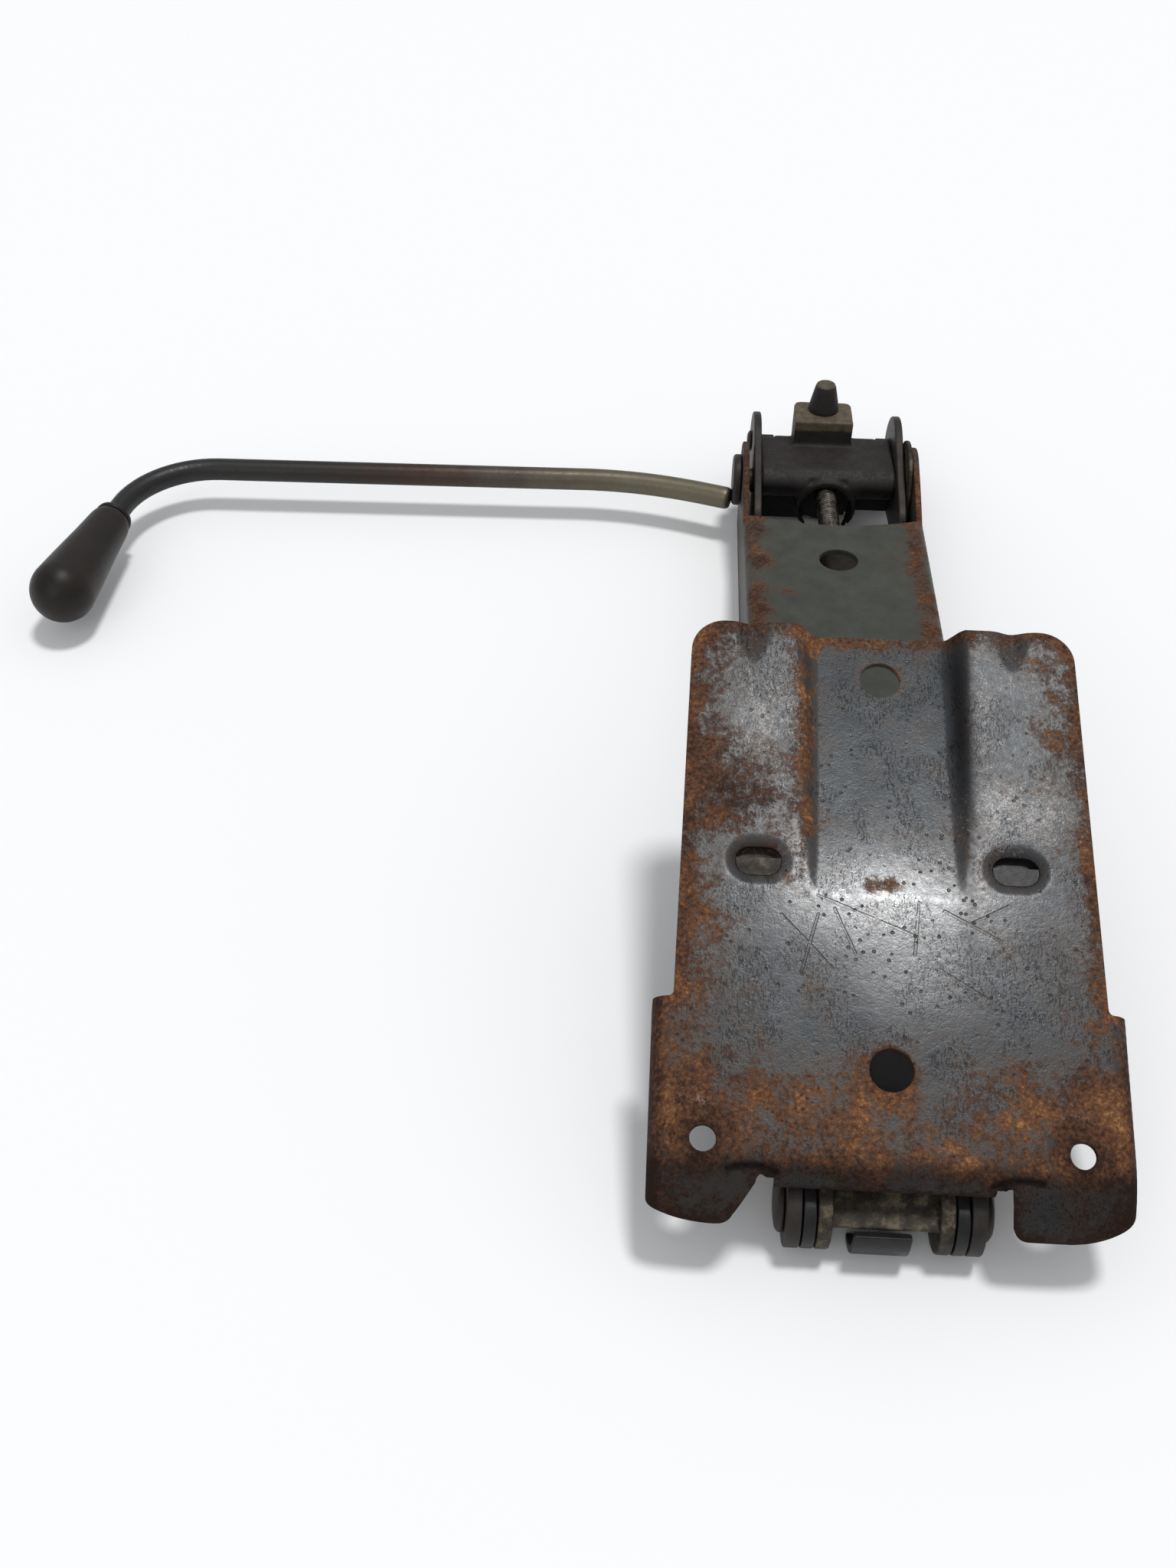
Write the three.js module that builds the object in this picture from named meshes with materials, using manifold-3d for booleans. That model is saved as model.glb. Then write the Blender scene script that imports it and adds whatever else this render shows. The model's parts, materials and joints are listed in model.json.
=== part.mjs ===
// Tilting support arm with a pressed mounting plate and a side clamp lever.
// Millimetres, +Z up. The arm lies on its flange edges, its far end pointing to +Y.
// Two local frames carry the pieces:
//   arm frame    origin on the arm's flat top face, +Y along the arm, +Z out of that face
//   plate frame  origin at the plate's far hole, +Y along the plate, +Z out of its face
import * as THREE from 'three';
import { mergeVertices } from 'three/addons/utils/BufferGeometryUtils.js';
import Module from 'manifold-3d';

const wasm = await Module();
wasm.setup();

// ---- driving dimensions -------------------------------------------------------------
const ARM_SLOPE = 4.2;             // degrees the arm's top face drops towards its far end
const PLATE_ANGLE = 25.3;          // degrees between the plate and the arm's top face
const PLATE_ORIGIN = [-27.8, 58.9]; // the plate frame's origin in the arm frame (Y, Z)
const GAP = 0.3;                   // clearance between pieces that touch

const SHEET = 2.5;                 // mounting plate's steel
const PLATE_HALF = 72.8;           // half width at the far edge
const PLATE_HALF_NEAR = 75.6;      // half width where the skirts start
const SKIRT_HALF = 82.8;           // half width over the side skirts
const PLATE_FAR = 19;              // far edge
const SKIRT_FAR = -131.6;          // far end of the side skirts
const LIP = -194.3;                // front face of the turned-down lip
const LIP_BOTTOM = -10.5;
// Near edge at each side, as distances from the centre plane: end of the lip, far side of the
// relief notch, inner corner of the ear; and the ear's foremost point.
const NEAR_EDGE = {
  left: { lip: 39.5, notch: 46.1, ear: 54.4, tip: -207.2 },
  right: { lip: 35.2, notch: 40.4, ear: 42.9, tip: -208.2 },
};
const WING_CORNER = 13;            // radius of the far corners
const EAR_CORNER = 15;             // radius of the near corners
const SKIRT_DEPTH = 17;
const ROLL_START = -180;           // the plate starts to roll down here
const ROLL_RADIUS = 36;
const RECESS_DEPTH = 10;           // of the central channel at the far edge
const RECESS_END = -92;            // where the channel has run out
const RECESS_FLOOR = 24.5;         // half width of its flat floor
const RECESS_ROOT = 32;            // half width where its walls reach the wings
const CENTRE_HOLE_R = 7.75;
const NEAR_HOLE_Y = -154.7;
const CORNER_HOLE = [64.2, -180.6];
const CORNER_HOLE_R = 4.6;
const SLOT = { x: 46.4, y: -79.5, half: 3, r: 5.6 };
const LUG = { top: -1, bottom: -7, far: 1.4 }; // heights of a slot's lug and its far face from the slot's middle
const LUG_FOOT = { top: -4.5, far: 11, side: 1.5 }; // plate the lug stands on, hidden under the slot

const ARM_HALF = 44.4;             // half width over the arm's flanges
const ARM_SHEET = 3;
const ARM_FAR = 176;               // far edge of the arm's web at its corners
const ARM_DIP = 7;                 // how deep that edge is dished
const ARM_NEAR = -90;              // near edge of the web
const FLANGE_NEAR = -128;          // near end of the flanges
const REST = { y: 205, z: -38.5 }; // a point on the arm's lower flange edge
const ARM_HOLE = { y: 138, r: 9.1 };
const SHAFT = [222, -8];           // clamp shaft axis in the arm frame (Y, Z)
const EAR_R = 19.5;
const SHAFT_R = 6;

const PIN = [-195.5, -30];         // near hinge pin in the plate frame (Y, Z)
const PIN_R = 6;
const KNUCKLE_R = 15.5;            // round ends of the hinge leaves
const LEAF_BACK = -150;            // rear end of the leaves
// Layers of the near hinge from the middle outwards, as distances from the centre plane.
const LAYER = { bracket: [18.4, 23.4], yoke: [23.9, 28.4], leaf: [28.9, 34.2], heads: [34.6, 37.6] };
const YOKE_BACK = -20;             // rear end of the yoke's web

const CHEEK_IN = 34.5;             // inner face of the far cheeks
const CHEEK_T = 4;
const STUB_IN = 16.3;              // how near the middle the two shaft stubs reach
const SCREW_AXIS_FROM = [214, -14]; // front of the boss and height of the screw in the arm frame
const RIVET = [256, -4];
const STUD = [-2, 260];            // axis of the stud (X, Y)
const PAD = { left: -17, right: 13, near: 246, far: 268.5, top: 13.5, round: 4 };
const CROSSBAR = { near: 217, far: 256, top: 0 };
const CURTAIN = { near: 227, far: 233, left: -33, right: -27 }; // walls under the crossbar and their feet
const BOSS = { z: -18.5, r: 15.5, far: 262, mouthZ: -20.5, mouthR: 13.8, depth: 14 };
const SLEEVE_R = 7.6;              // sleeves of the cast block round the shaft
const SCREW = { r: 5.4, near: 178, far: 285 };
const NUT = { y: 276.5, r: 10, width: 8 };
const UNDER_PLATE = { near: 120, far: 206, low: -38, high: -36, half: 30 };
const ROD_R = 5.7;                 // clamp lever's bar
const LEVER_Z = -16;

// ---- helpers ------------------------------------------------------------------------
const deg = THREE.MathUtils.degToRad;

function finish(colour, roughness, metalness) {
  return new THREE.MeshStandardMaterial({ color: colour, roughness, metalness });
}

const RUSTY_STEEL = finish(0x5a4c44, 0.62, 0.6);
const ARM_PAINT = finish(0x454a42, 0.6, 0.3);
const DARK_STEEL = finish(0x37312d, 0.55, 0.6);
const BRASSY_STEEL = finish(0x6b5f45, 0.5, 0.7);
const BLACK_STEEL = finish(0x22221f, 0.45, 0.4);
const CAST_BROWN = finish(0x3a332f, 0.6, 0.4);
const ZINC = finish(0x77705e, 0.45, 0.8);
const KNOB_BLACK = finish(0x221f1b, 0.4, 0.0);

// A closed mesh made from a solid, and the other way round.
function solid(geometry) {
  const plain = geometry.index ? geometry.toNonIndexed() : geometry.clone();
  plain.deleteAttribute('normal');
  plain.deleteAttribute('uv');
  const merged = mergeVertices(plain, 1e-4);
  return new wasm.Manifold(new wasm.Mesh({
    numProp: 3,
    vertProperties: new Float32Array(merged.attributes.position.array),
    triVerts: new Uint32Array(merged.index.array),
  }));
}

function geometryOf(manifold) {
  const mesh = manifold.getMesh();
  const geometry = new THREE.BufferGeometry();
  geometry.setAttribute('position', new THREE.BufferAttribute(mesh.vertProperties, 3));
  geometry.setIndex(new THREE.BufferAttribute(mesh.triVerts, 1));
  geometry.computeVertexNormals();
  return geometry;
}

function piece(name, manifold, material, parent) {
  const mesh = new THREE.Mesh(geometryOf(manifold), material);
  mesh.name = name;
  parent.add(mesh);
  return mesh;
}

function union(...parts) {
  return parts.reduce((sum, part) => sum.add(part));
}

// A box from its lowest to its highest corner.
function block(low, high) {
  const size = high.map((v, i) => v - low[i]);
  const box = new THREE.BoxGeometry(...size);
  box.translate(...low.map((v, i) => v + size[i] / 2));
  return solid(box);
}

// A side outline in (Y, Z), carried from x0 to x1.
function sidePlate(shape, x0, x1, steps = 10) {
  const plate = new THREE.ExtrudeGeometry(shape, { depth: x1 - x0, bevelEnabled: false, curveSegments: steps });
  plate.applyMatrix4(new THREE.Matrix4().set(0, 0, 1, x0, 1, 0, 0, 0, 0, 1, 0, 0, 0, 0, 0, 1));
  return solid(plate);
}

// A plan outline in (X, Y), carried from z0 to z1.
function floorPlate(shape, z0, z1, steps = 10) {
  const plate = new THREE.ExtrudeGeometry(shape, { depth: z1 - z0, bevelEnabled: false, curveSegments: steps });
  plate.translate(0, 0, z0);
  return solid(plate);
}

// A turned piece: profile points are [radius, height] along the axis that 'axis' names.
function turned(profile, axis, centre, sides = 28) {
  const lathe = new THREE.LatheGeometry(profile.map(([r, h]) => new THREE.Vector2(r, h)), sides);
  if (axis === 'x') lathe.rotateZ(-Math.PI / 2);
  if (axis === 'z') lathe.rotateX(Math.PI / 2);
  lathe.translate(...centre);
  return solid(lathe);
}

function rod(radius, axis, from, to, centre, sides = 28) {
  return turned([[0, from], [radius, from], [radius, to], [0, to]], axis, centre, sides);
}

function pathOf(points) {
  return new THREE.Shape(points.map(([x, y]) => new THREE.Vector2(x, y)));
}

// Straight outline around two circles: a link or knuckle seen from the side.
function linkShape(a, ra, b, rb) {
  const dx = b[0] - a[0];
  const dy = b[1] - a[1];
  const bearing = Math.atan2(dy, dx);
  const lean = Math.acos((ra - rb) / Math.hypot(dx, dy));
  const shape = new THREE.Shape();
  shape.absarc(a[0], a[1], ra, bearing + lean, bearing - lean + 2 * Math.PI, false);
  shape.absarc(b[0], b[1], rb, bearing - lean, bearing + lean, false);
  return shape;
}

function restLine(y) {
  return REST.z + (y - REST.y) * Math.tan(deg(ARM_SLOPE));
}

// ---- frames -------------------------------------------------------------------------
const group = new THREE.Group();
const armFrame = new THREE.Group();
armFrame.rotation.x = -deg(ARM_SLOPE);
group.add(armFrame);
const plateFrame = new THREE.Group();
plateFrame.rotation.x = deg(PLATE_ANGLE);
plateFrame.position.set(0, ...PLATE_ORIGIN);
armFrame.add(plateFrame);

function pinInArm() {
  const c = Math.cos(deg(PLATE_ANGLE));
  const s = Math.sin(deg(PLATE_ANGLE));
  return [PLATE_ORIGIN[0] + PIN[0] * c - PIN[1] * s, PLATE_ORIGIN[1] + PIN[0] * s + PIN[1] * c];
}
const PIN_ARM = pinInArm();

// ---- mounting plate -----------------------------------------------------------------
function smooth(t) {
  const u = THREE.MathUtils.clamp(t, 0, 1);
  return u * u * (3 - 2 * u);
}

// Height of the plate's upper face: a channel that deepens towards the far edge,
// and a front that rolls down on a large radius.
function plateHeight(x, y) {
  const along = THREE.MathUtils.clamp((y - RECESS_END) / (PLATE_FAR - RECESS_END), 0, 1);
  const across = 1 - smooth((Math.abs(x) - RECESS_FLOOR) / (RECESS_ROOT - RECESS_FLOOR));
  const t = Math.max(0, ROLL_START - y);
  const roll = ROLL_RADIUS - Math.sqrt(ROLL_RADIUS ** 2 - t ** 2);
  return -RECESS_DEPTH * along * across - roll;
}

// Cross-section of the sheet from its middle to one side: flat, then turned down through
// a quarter circle into the skirt. Each stop is [x, z, normal x, normal z].
function sectionStops() {
  const bend = 7;
  const inner = SKIRT_HALF - bend;
  const stops = [0, RECESS_FLOOR, 27, 29.5, RECESS_ROOT, 60, inner].map((x) => [x, 0, 0, 1]);
  for (const turn of [30, 60, 90]) {
    const a = deg(turn);
    stops.push([inner + bend * Math.sin(a), bend * (Math.cos(a) - 1), Math.sin(a), Math.cos(a)]);
  }
  stops.push([SKIRT_HALF, -SKIRT_DEPTH, 1, 0]);
  const mirrored = stops.slice(1).reverse().map(([x, z, nx, nz]) => [-x, z, -nx, nz]);
  return [...mirrored, ...stops];
}

function plateSheet() {
  const columns = sectionStops();
  const rows = [-212, -208, -204, -200, -196, -192, -188, -184, ROLL_START, -132, RECESS_END, -60, -20, 30];
  const sheet = new THREE.BoxGeometry(1, 1, 1, columns.length - 1, rows.length - 1, 1);
  const at = sheet.attributes.position;
  for (let i = 0; i < at.count; i++) {
    const [x, z, nx, nz] = columns[Math.round((at.getX(i) + 0.5) * (columns.length - 1))];
    const y = rows[Math.round((at.getY(i) + 0.5) * (rows.length - 1))];
    const depth = at.getZ(i) > 0 ? 0 : SHEET;
    at.setXYZ(i, x - nx * depth, y, z - nz * depth + plateHeight(x, y));
  }
  return solid(sheet);
}

function arcPoints(x, y, radius, from, to, steps) {
  const turns = Array.from({ length: steps + 1 }, (_, i) => deg(from + ((to - from) * i) / steps));
  return turns.map((a) => [x + radius * Math.cos(a), y + radius * Math.sin(a)]);
}

// Half of the plate's outline seen from above: lip, relief notch, corner ear, the step where
// the skirt begins, and the round far corner.
function halfOutline(side) {
  const { lip, notch, ear, tip } = side < 0 ? NEAR_EDGE.left : NEAR_EDGE.right;
  const relief = (notch - lip) / 2;
  const wide = SKIRT_HALF + 1;
  const points = [
    [0, LIP], ...arcPoints(lip + relief, LIP, relief, 180, 0, 6),
    [ear - 1, tip + 3], [ear + 3, tip],
    ...arcPoints(SKIRT_HALF - EAR_CORNER, tip + EAR_CORNER, EAR_CORNER, -90, 0, 6),
    [wide, tip + EAR_CORNER], [wide, SKIRT_FAR], [PLATE_HALF_NEAR, SKIRT_FAR],
    ...arcPoints(PLATE_HALF - WING_CORNER, PLATE_FAR - WING_CORNER, WING_CORNER, 0, 90, 6),
    [0, PLATE_FAR],
  ];
  return points.map(([x, y]) => [side * x, y]);
}

function plateOutline() {
  return pathOf([...halfOutline(1), ...halfOutline(-1).reverse().slice(1, -1)]);
}

// A hole with round ends, its length along X.
function slotShape(x, y, half, radius) {
  const shape = new THREE.Shape();
  shape.absarc(x + half, y, radius, -Math.PI / 2, Math.PI / 2, false);
  shape.absarc(x - half, y, radius, Math.PI / 2, 1.5 * Math.PI, false);
  return shape;
}

function mountPlate() {
  let plate = plateSheet().intersect(floorPlate(plateOutline(), -60, 20, 6));
  plate = plate.add(block([-NEAR_EDGE.left.lip, LIP, LIP_BOTTOM], [NEAR_EDGE.right.lip, LIP + SHEET, -5]));
  const holes = [[0, 0, CENTRE_HOLE_R], [0, NEAR_HOLE_Y, CENTRE_HOLE_R]];
  for (const side of [-1, 1]) {
    holes.push([side * CORNER_HOLE[0], CORNER_HOLE[1], CORNER_HOLE_R]);
    plate = plate.subtract(floorPlate(slotShape(side * SLOT.x, SLOT.y, SLOT.half, SLOT.r), -20, 10, 6));
  }
  for (const [x, y, radius] of holes) {
    plate = plate.subtract(rod(radius, 'z', -30, 10, [x, y, 0], 24));
  }
  return plate;
}

// Hinge leaf seen from the side: it hangs from the plate and ends round the pin.
function leafShape() {
  const top = -SHEET - GAP;
  const front = LIP + SHEET + GAP;
  const rise = Math.acos((front - PIN[0]) / KNUCKLE_R);
  const shape = new THREE.Shape();
  shape.moveTo(LEAF_BACK, top);
  shape.lineTo(ROLL_START, top);
  shape.lineTo(front, top - 3.2);
  shape.absarc(...PIN, KNUCKLE_R, rise, deg(320), false);
  shape.lineTo(LEAF_BACK, -12);
  return shape;
}

function leaf(x0, x1) {
  return sidePlate(leafShape(), x0, x1, 14).subtract(pinBore(x0 - 1, x1 + 1));
}

function pinBore(x0, x1) {
  return rod(PIN_R + GAP, 'x', x0, x1, [0, ...PIN]);
}

// Inner bracket: two cheeks joined by a flat web over the pin.
function innerBracket() {
  const [inner, outer] = LAYER.bracket;
  const web = block([-inner - 1, PIN[0] - 9.5, PIN[1] + 7], [inner + 1, PIN[0] + 12, PIN[1] + 10]);
  return union(leaf(inner, outer), leaf(-outer, -inner), web);
}

// Bent strip that hangs in front of the pin.
function stopTab() {
  const shape = new THREE.Shape();
  shape.absarc(...PIN, 16.5, deg(140), deg(235), false);
  shape.absarc(...PIN, 13.5, deg(235), deg(140), true);
  return sidePlate(shape, -11, 9, 12);
}

piece('mount_plate', mountPlate(), RUSTY_STEEL, plateFrame);
piece('hinge_leaf_left', leaf(-LAYER.leaf[1], -LAYER.leaf[0]), DARK_STEEL, plateFrame);
piece('hinge_leaf_right', leaf(LAYER.leaf[0], LAYER.leaf[1]), DARK_STEEL, plateFrame);
piece('inner_bracket', innerBracket(), BRASSY_STEEL, plateFrame);
piece('stop_tab', stopTab(), BLACK_STEEL, plateFrame);

// Flat-topped lug that fills the near part of a slot, a little below the plate's face.
function slotLug(side) {
  const shape = slotShape(side * SLOT.x, SLOT.y, SLOT.half, SLOT.r - GAP);
  const reach = SLOT.half + SLOT.r;
  const near = block(
    [side * SLOT.x - reach, SLOT.y - SLOT.r, LUG.bottom],
    [side * SLOT.x + reach, SLOT.y + LUG.far, LUG.top],
  );
  const foot = block(
    [side * SLOT.x - reach - LUG_FOOT.side, SLOT.y - SLOT.r, LUG.bottom],
    [side * SLOT.x + reach + LUG_FOOT.side, SLOT.y + LUG_FOOT.far, LUG_FOOT.top],
  );
  return union(floorPlate(shape, LUG.bottom, LUG.top, 6).intersect(near), foot);
}
piece('slot_lug_left', slotLug(-1), BRASSY_STEEL, plateFrame);
piece('slot_lug_right', slotLug(1), BRASSY_STEEL, plateFrame);

// ---- arm ----------------------------------------------------------------------------
// Cross-section of the channel, open below, with round shoulders.
function channelShape() {
  const bend = 5;
  const hollow = bend - ARM_SHEET;
  const shoulder = ARM_HALF - bend;
  const inside = ARM_HALF - ARM_SHEET;
  const foot = -80;
  const shape = new THREE.Shape();
  shape.moveTo(-ARM_HALF, foot);
  shape.absarc(-shoulder, -bend, bend, Math.PI, Math.PI / 2, true);
  shape.absarc(shoulder, -bend, bend, Math.PI / 2, 0, true);
  shape.lineTo(ARM_HALF, foot);
  shape.lineTo(inside, foot);
  shape.absarc(shoulder, -bend, hollow, 0, Math.PI / 2, false);
  shape.absarc(-shoulder, -bend, hollow, Math.PI / 2, Math.PI, false);
  shape.lineTo(-inside, foot);
  return shape;
}

function channel(y0, y1) {
  const bar = new THREE.ExtrudeGeometry(channelShape(), { depth: y1 - y0, bevelEnabled: false, curveSegments: 5 });
  bar.rotateX(Math.PI / 2);
  bar.translate(0, y1, 0);
  return solid(bar);
}

function flangeShape(y1) {
  return pathOf([
    [FLANGE_NEAR, restLine(FLANGE_NEAR)], [y1, restLine(y1)], [y1, 1],
    [ARM_NEAR, 1], [ARM_NEAR, -ARM_SHEET - 2], [FLANGE_NEAR, -40],
  ]);
}

// Ear that carries the clamp shaft beyond the web's far edge.
function earShape() {
  const heel = 226;
  const shape = new THREE.Shape();
  shape.moveTo(170, restLine(170));
  shape.lineTo(heel, restLine(heel));
  shape.absarc(...SHAFT, EAR_R, deg(-40), deg(112), false);
  shape.quadraticCurveTo(192, 3, ARM_FAR, -5);
  shape.lineTo(170, -5);
  return shape;
}

function dishedEdge() {
  const inside = ARM_HALF - ARM_SHEET;
  const shape = new THREE.Shape();
  shape.moveTo(-inside, ARM_FAR);
  shape.quadraticCurveTo(0, ARM_FAR - 2 * ARM_DIP, inside, ARM_FAR);
  shape.lineTo(inside, 230);
  shape.lineTo(-inside, 230);
  return shape;
}

function shaftBore(x0, x1) {
  return rod(SHAFT_R + GAP, 'x', x0, x1, [0, ...SHAFT]);
}

function armChannel() {
  const y1 = ARM_FAR + 4;
  let arm = channel(FLANGE_NEAR - 10, y1).intersect(sidePlate(flangeShape(y1), -50, 50));
  arm = arm.subtract(floorPlate(dishedEdge(), -8, 4, 12));
  arm = arm.subtract(block([ARM_SHEET - ARM_HALF, FLANGE_NEAR - 20, -8], [ARM_HALF - ARM_SHEET, ARM_NEAR, 4]));
  const inside = ARM_HALF - ARM_SHEET;
  arm = union(arm, sidePlate(earShape(), inside, ARM_HALF, 14), sidePlate(earShape(), -ARM_HALF, -inside, 14));
  return arm.subtract(shaftBore(-60, 60)).subtract(rod(ARM_HOLE.r, 'z', -10, 10, [0, ARM_HOLE.y, 0]));
}

// Yoke welded under the arm's web: its two arms reach down to the near hinge pin.
function yokeArm(x0, x1) {
  const top = -ARM_SHEET - GAP;
  const link = linkShape([-96, top - 9], 9, PIN_ARM, KNUCKLE_R);
  const body = pathOf([
    [YOKE_BACK, top], [-96, top], PIN_ARM, [PIN_ARM[0], PIN_ARM[1] - KNUCKLE_R + 0.1],
    [-70, restLine(-70) + 1], [YOKE_BACK, -32],
  ]);
  return sidePlate(link, x0, x1, 14).add(sidePlate(body, x0, x1));
}

function hingeYoke() {
  const [inner, outer] = LAYER.yoke;
  const top = -ARM_SHEET - GAP;
  const web = block([-inner - 1, ARM_NEAR, top - 3.5], [inner + 1, YOKE_BACK, top]);
  const yoke = union(yokeArm(inner, outer), yokeArm(-outer, -inner), web);
  return yoke.subtract(rod(PIN_R + GAP, 'x', -60, 60, [0, ...PIN_ARM]));
}

function hingePin() {
  const [head, end] = LAYER.heads;
  const profile = [[0, -end], [8.4, -end], [10.5, -end + 1.4], [10.5, -head], [PIN_R, -head], [PIN_R, end - 0.7], [0, end - 0.7]];
  return turned(profile, 'x', [0, ...PIN_ARM]);
}

function pinCollar() {
  const [head, end] = LAYER.heads;
  const hole = PIN_R + GAP;
  const profile = [[hole, head], [10.5, head], [10.5, end - 1.4], [8.4, end], [hole, end], [hole, head]];
  return turned(profile, 'x', [0, ...PIN_ARM]);
}

function frictionPlate() {
  const plate = new THREE.Shape();
  plate.absarc(SHAFT[0] + 2, SHAFT[1], 22, 0, 2 * Math.PI, false);
  return sidePlate(plate, CHEEK_IN + CHEEK_T + 0.5, ARM_HALF - ARM_SHEET - 0.4, 18).subtract(shaftBore(30, 50));
}

piece('arm_channel', armChannel(), ARM_PAINT, armFrame);
piece('hinge_yoke', hingeYoke(), BLACK_STEEL, armFrame);
piece('hinge_pin', hingePin(), DARK_STEEL, armFrame);
piece('pin_collar', pinCollar(), DARK_STEEL, armFrame);
piece('friction_plate', frictionPlate(), BRASSY_STEEL, armFrame);
const underPlate = block(
  [-UNDER_PLATE.half, UNDER_PLATE.near, UNDER_PLATE.low],
  [UNDER_PLATE.half, UNDER_PLATE.far, UNDER_PLATE.high],
);
piece('arm_under_plate', underPlate, DARK_STEEL, armFrame);
piece('pivot_stub', rod(SHAFT_R, 'x', STUB_IN, ARM_HALF, [0, ...SHAFT]), DARK_STEEL, armFrame);

// ---- far head -----------------------------------------------------------------------
function cheek(x0, x1) {
  const link = linkShape([251, -11], 23.8, [200, -17], 12);
  return sidePlate(link, x0, x1, 14).subtract(shaftBore(x0 - 1, x1 + 1)).subtract(rivetBore());
}

function rivetBore() {
  return rod(3.5 + GAP, 'x', -60, 60, [0, ...RIVET]);
}

// Cast block: a crossbar between the cheeks, a sleeve round each half of the shaft, a boss
// for the tension screw and a pad for the stud.
function headBlock() {
  const side = CHEEK_IN - GAP;
  const [near, z] = SCREW_AXIS_FROM;
  const pad = new THREE.Shape();
  pad.moveTo(PAD.left, PAD.near);
  pad.lineTo(PAD.right, PAD.near);
  pad.absarc(PAD.right - PAD.round, PAD.far - PAD.round, PAD.round, 0, Math.PI / 2, false);
  pad.absarc(PAD.left + PAD.round, PAD.far - PAD.round, PAD.round, Math.PI / 2, Math.PI, false);
  const bar = pathOf([
    [CROSSBAR.near, CROSSBAR.top - 2.5], [CROSSBAR.near + 4, CROSSBAR.top], [CROSSBAR.far, CROSSBAR.top],
    [CROSSBAR.far, -12], [234, -12], [CROSSBAR.near, -7],
  ]);
  let cast = union(
    sidePlate(bar, -side, side),
    block([-side, CURTAIN.near, CURTAIN.left], [-10, CURTAIN.far, -8]),
    block([10, CURTAIN.near, CURTAIN.right], [side, CURTAIN.far, -8]),
    rod(SLEEVE_R, 'x', 10, side, [0, ...SHAFT]),
    rod(SLEEVE_R, 'x', -side, -10, [0, ...SHAFT]),
    rod(BOSS.r, 'y', near, BOSS.far, [0, 0, BOSS.z], 32),
    floorPlate(pad, -8, PAD.top, 6),
  );
  cast = cast.subtract(rod(BOSS.mouthR, 'y', near - BOSS.depth, near + BOSS.depth, [0, 0, BOSS.mouthZ], 32));
  cast = cast.subtract(rod(SCREW.r + GAP, 'y', near - BOSS.depth, SCREW.far + 5, [0, 0, z]));
  cast = cast.subtract(shaftBore(-40, GAP - STUB_IN)).subtract(shaftBore(STUB_IN - GAP, 40));
  cast = cast.subtract(rod(4 + GAP, 'z', PAD.top - 8, PAD.top + 10, [...STUD, 0]));
  const pocket = rod(3.5 + GAP, 'x', 26, 40, [0, ...RIVET]);
  return cast.subtract(pocket).subtract(pocket.mirror([1, 0, 0]));
}

function rivet(side) {
  const face = CHEEK_IN + CHEEK_T + GAP;
  const profile = [[0, 27], [3.5, 27], [3.5, face], [5.5, face], [5.5, face + 1], [3.5, face + 2.2], [0, face + 2.2]];
  const right = turned(profile, 'x', [0, ...RIVET], 20);
  return side > 0 ? right : right.mirror([1, 0, 0]);
}

function stud() {
  const base = PAD.top + GAP;
  const profile = [
    [0, base - 7], [4, base - 7], [4, base], [8, base], [7.6, base + 3], [5.4, base + 13], [4.7, base + 14.7], [0, base + 14.7],
  ];
  return turned(profile, 'z', [...STUD, 0], 24);
}

piece('head_cheek_left', cheek(-CHEEK_IN - CHEEK_T, -CHEEK_IN), DARK_STEEL, armFrame);
piece('head_cheek_right', cheek(CHEEK_IN, CHEEK_IN + CHEEK_T), DARK_STEEL, armFrame);
piece('head_block', headBlock(), CAST_BROWN, armFrame);
piece('cheek_rivet_left', rivet(-1), DARK_STEEL, armFrame);
piece('cheek_rivet_right', rivet(1), DARK_STEEL, armFrame);
piece('head_stud', stud(), DARK_STEEL, armFrame);
piece('tension_screw', rod(SCREW.r, 'y', SCREW.near, SCREW.far, [0, 0, SCREW_AXIS_FROM[1]], 20), ZINC, armFrame);

function hexNut() {
  const hex = new THREE.CylinderGeometry(NUT.r, NUT.r, NUT.width, 6);
  hex.translate(0, NUT.y, SCREW_AXIS_FROM[1]);
  const hole = rod(SCREW.r + GAP, 'y', NUT.y - NUT.width, NUT.y + NUT.width, [0, 0, SCREW_AXIS_FROM[1]], 20);
  return solid(hex).subtract(hole);
}
piece('tension_nut', hexNut(), ZINC, armFrame);

// ---- clamp lever --------------------------------------------------------------------
function leverHub() {
  const face = -ARM_HALF - GAP - 0.2;
  const profile = [[0, face - 4], [12.2, face - 4], [13, face - 3.2], [13, face], [SHAFT_R, face], [SHAFT_R, -STUB_IN], [0, -STUB_IN]];
  return turned(profile, 'x', [0, ...SHAFT]);
}

const HUB_FACE = -ARM_HALF - GAP - 4.2;
const BAR_START = new THREE.Vector3(HUB_FACE + 3, 214.8, LEVER_Z);
const BAR_CORNERS = [
  { at: new THREE.Vector3(-78, 225, LEVER_Z), reach: 14 },
  { at: new THREE.Vector3(-110, 230.3, LEVER_Z), reach: 16 },
  { at: new THREE.Vector3(-356.5, 225.6, LEVER_Z), reach: 38 },
];
const KNOB_NECK = new THREE.Vector3(-363.8, 177, -18.6);
const KNOB_AXIS = KNOB_NECK.clone().sub(BAR_CORNERS[2].at).normalize();
const BAR_END = KNOB_NECK.clone().addScaledVector(KNOB_AXIS, 22);

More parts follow.
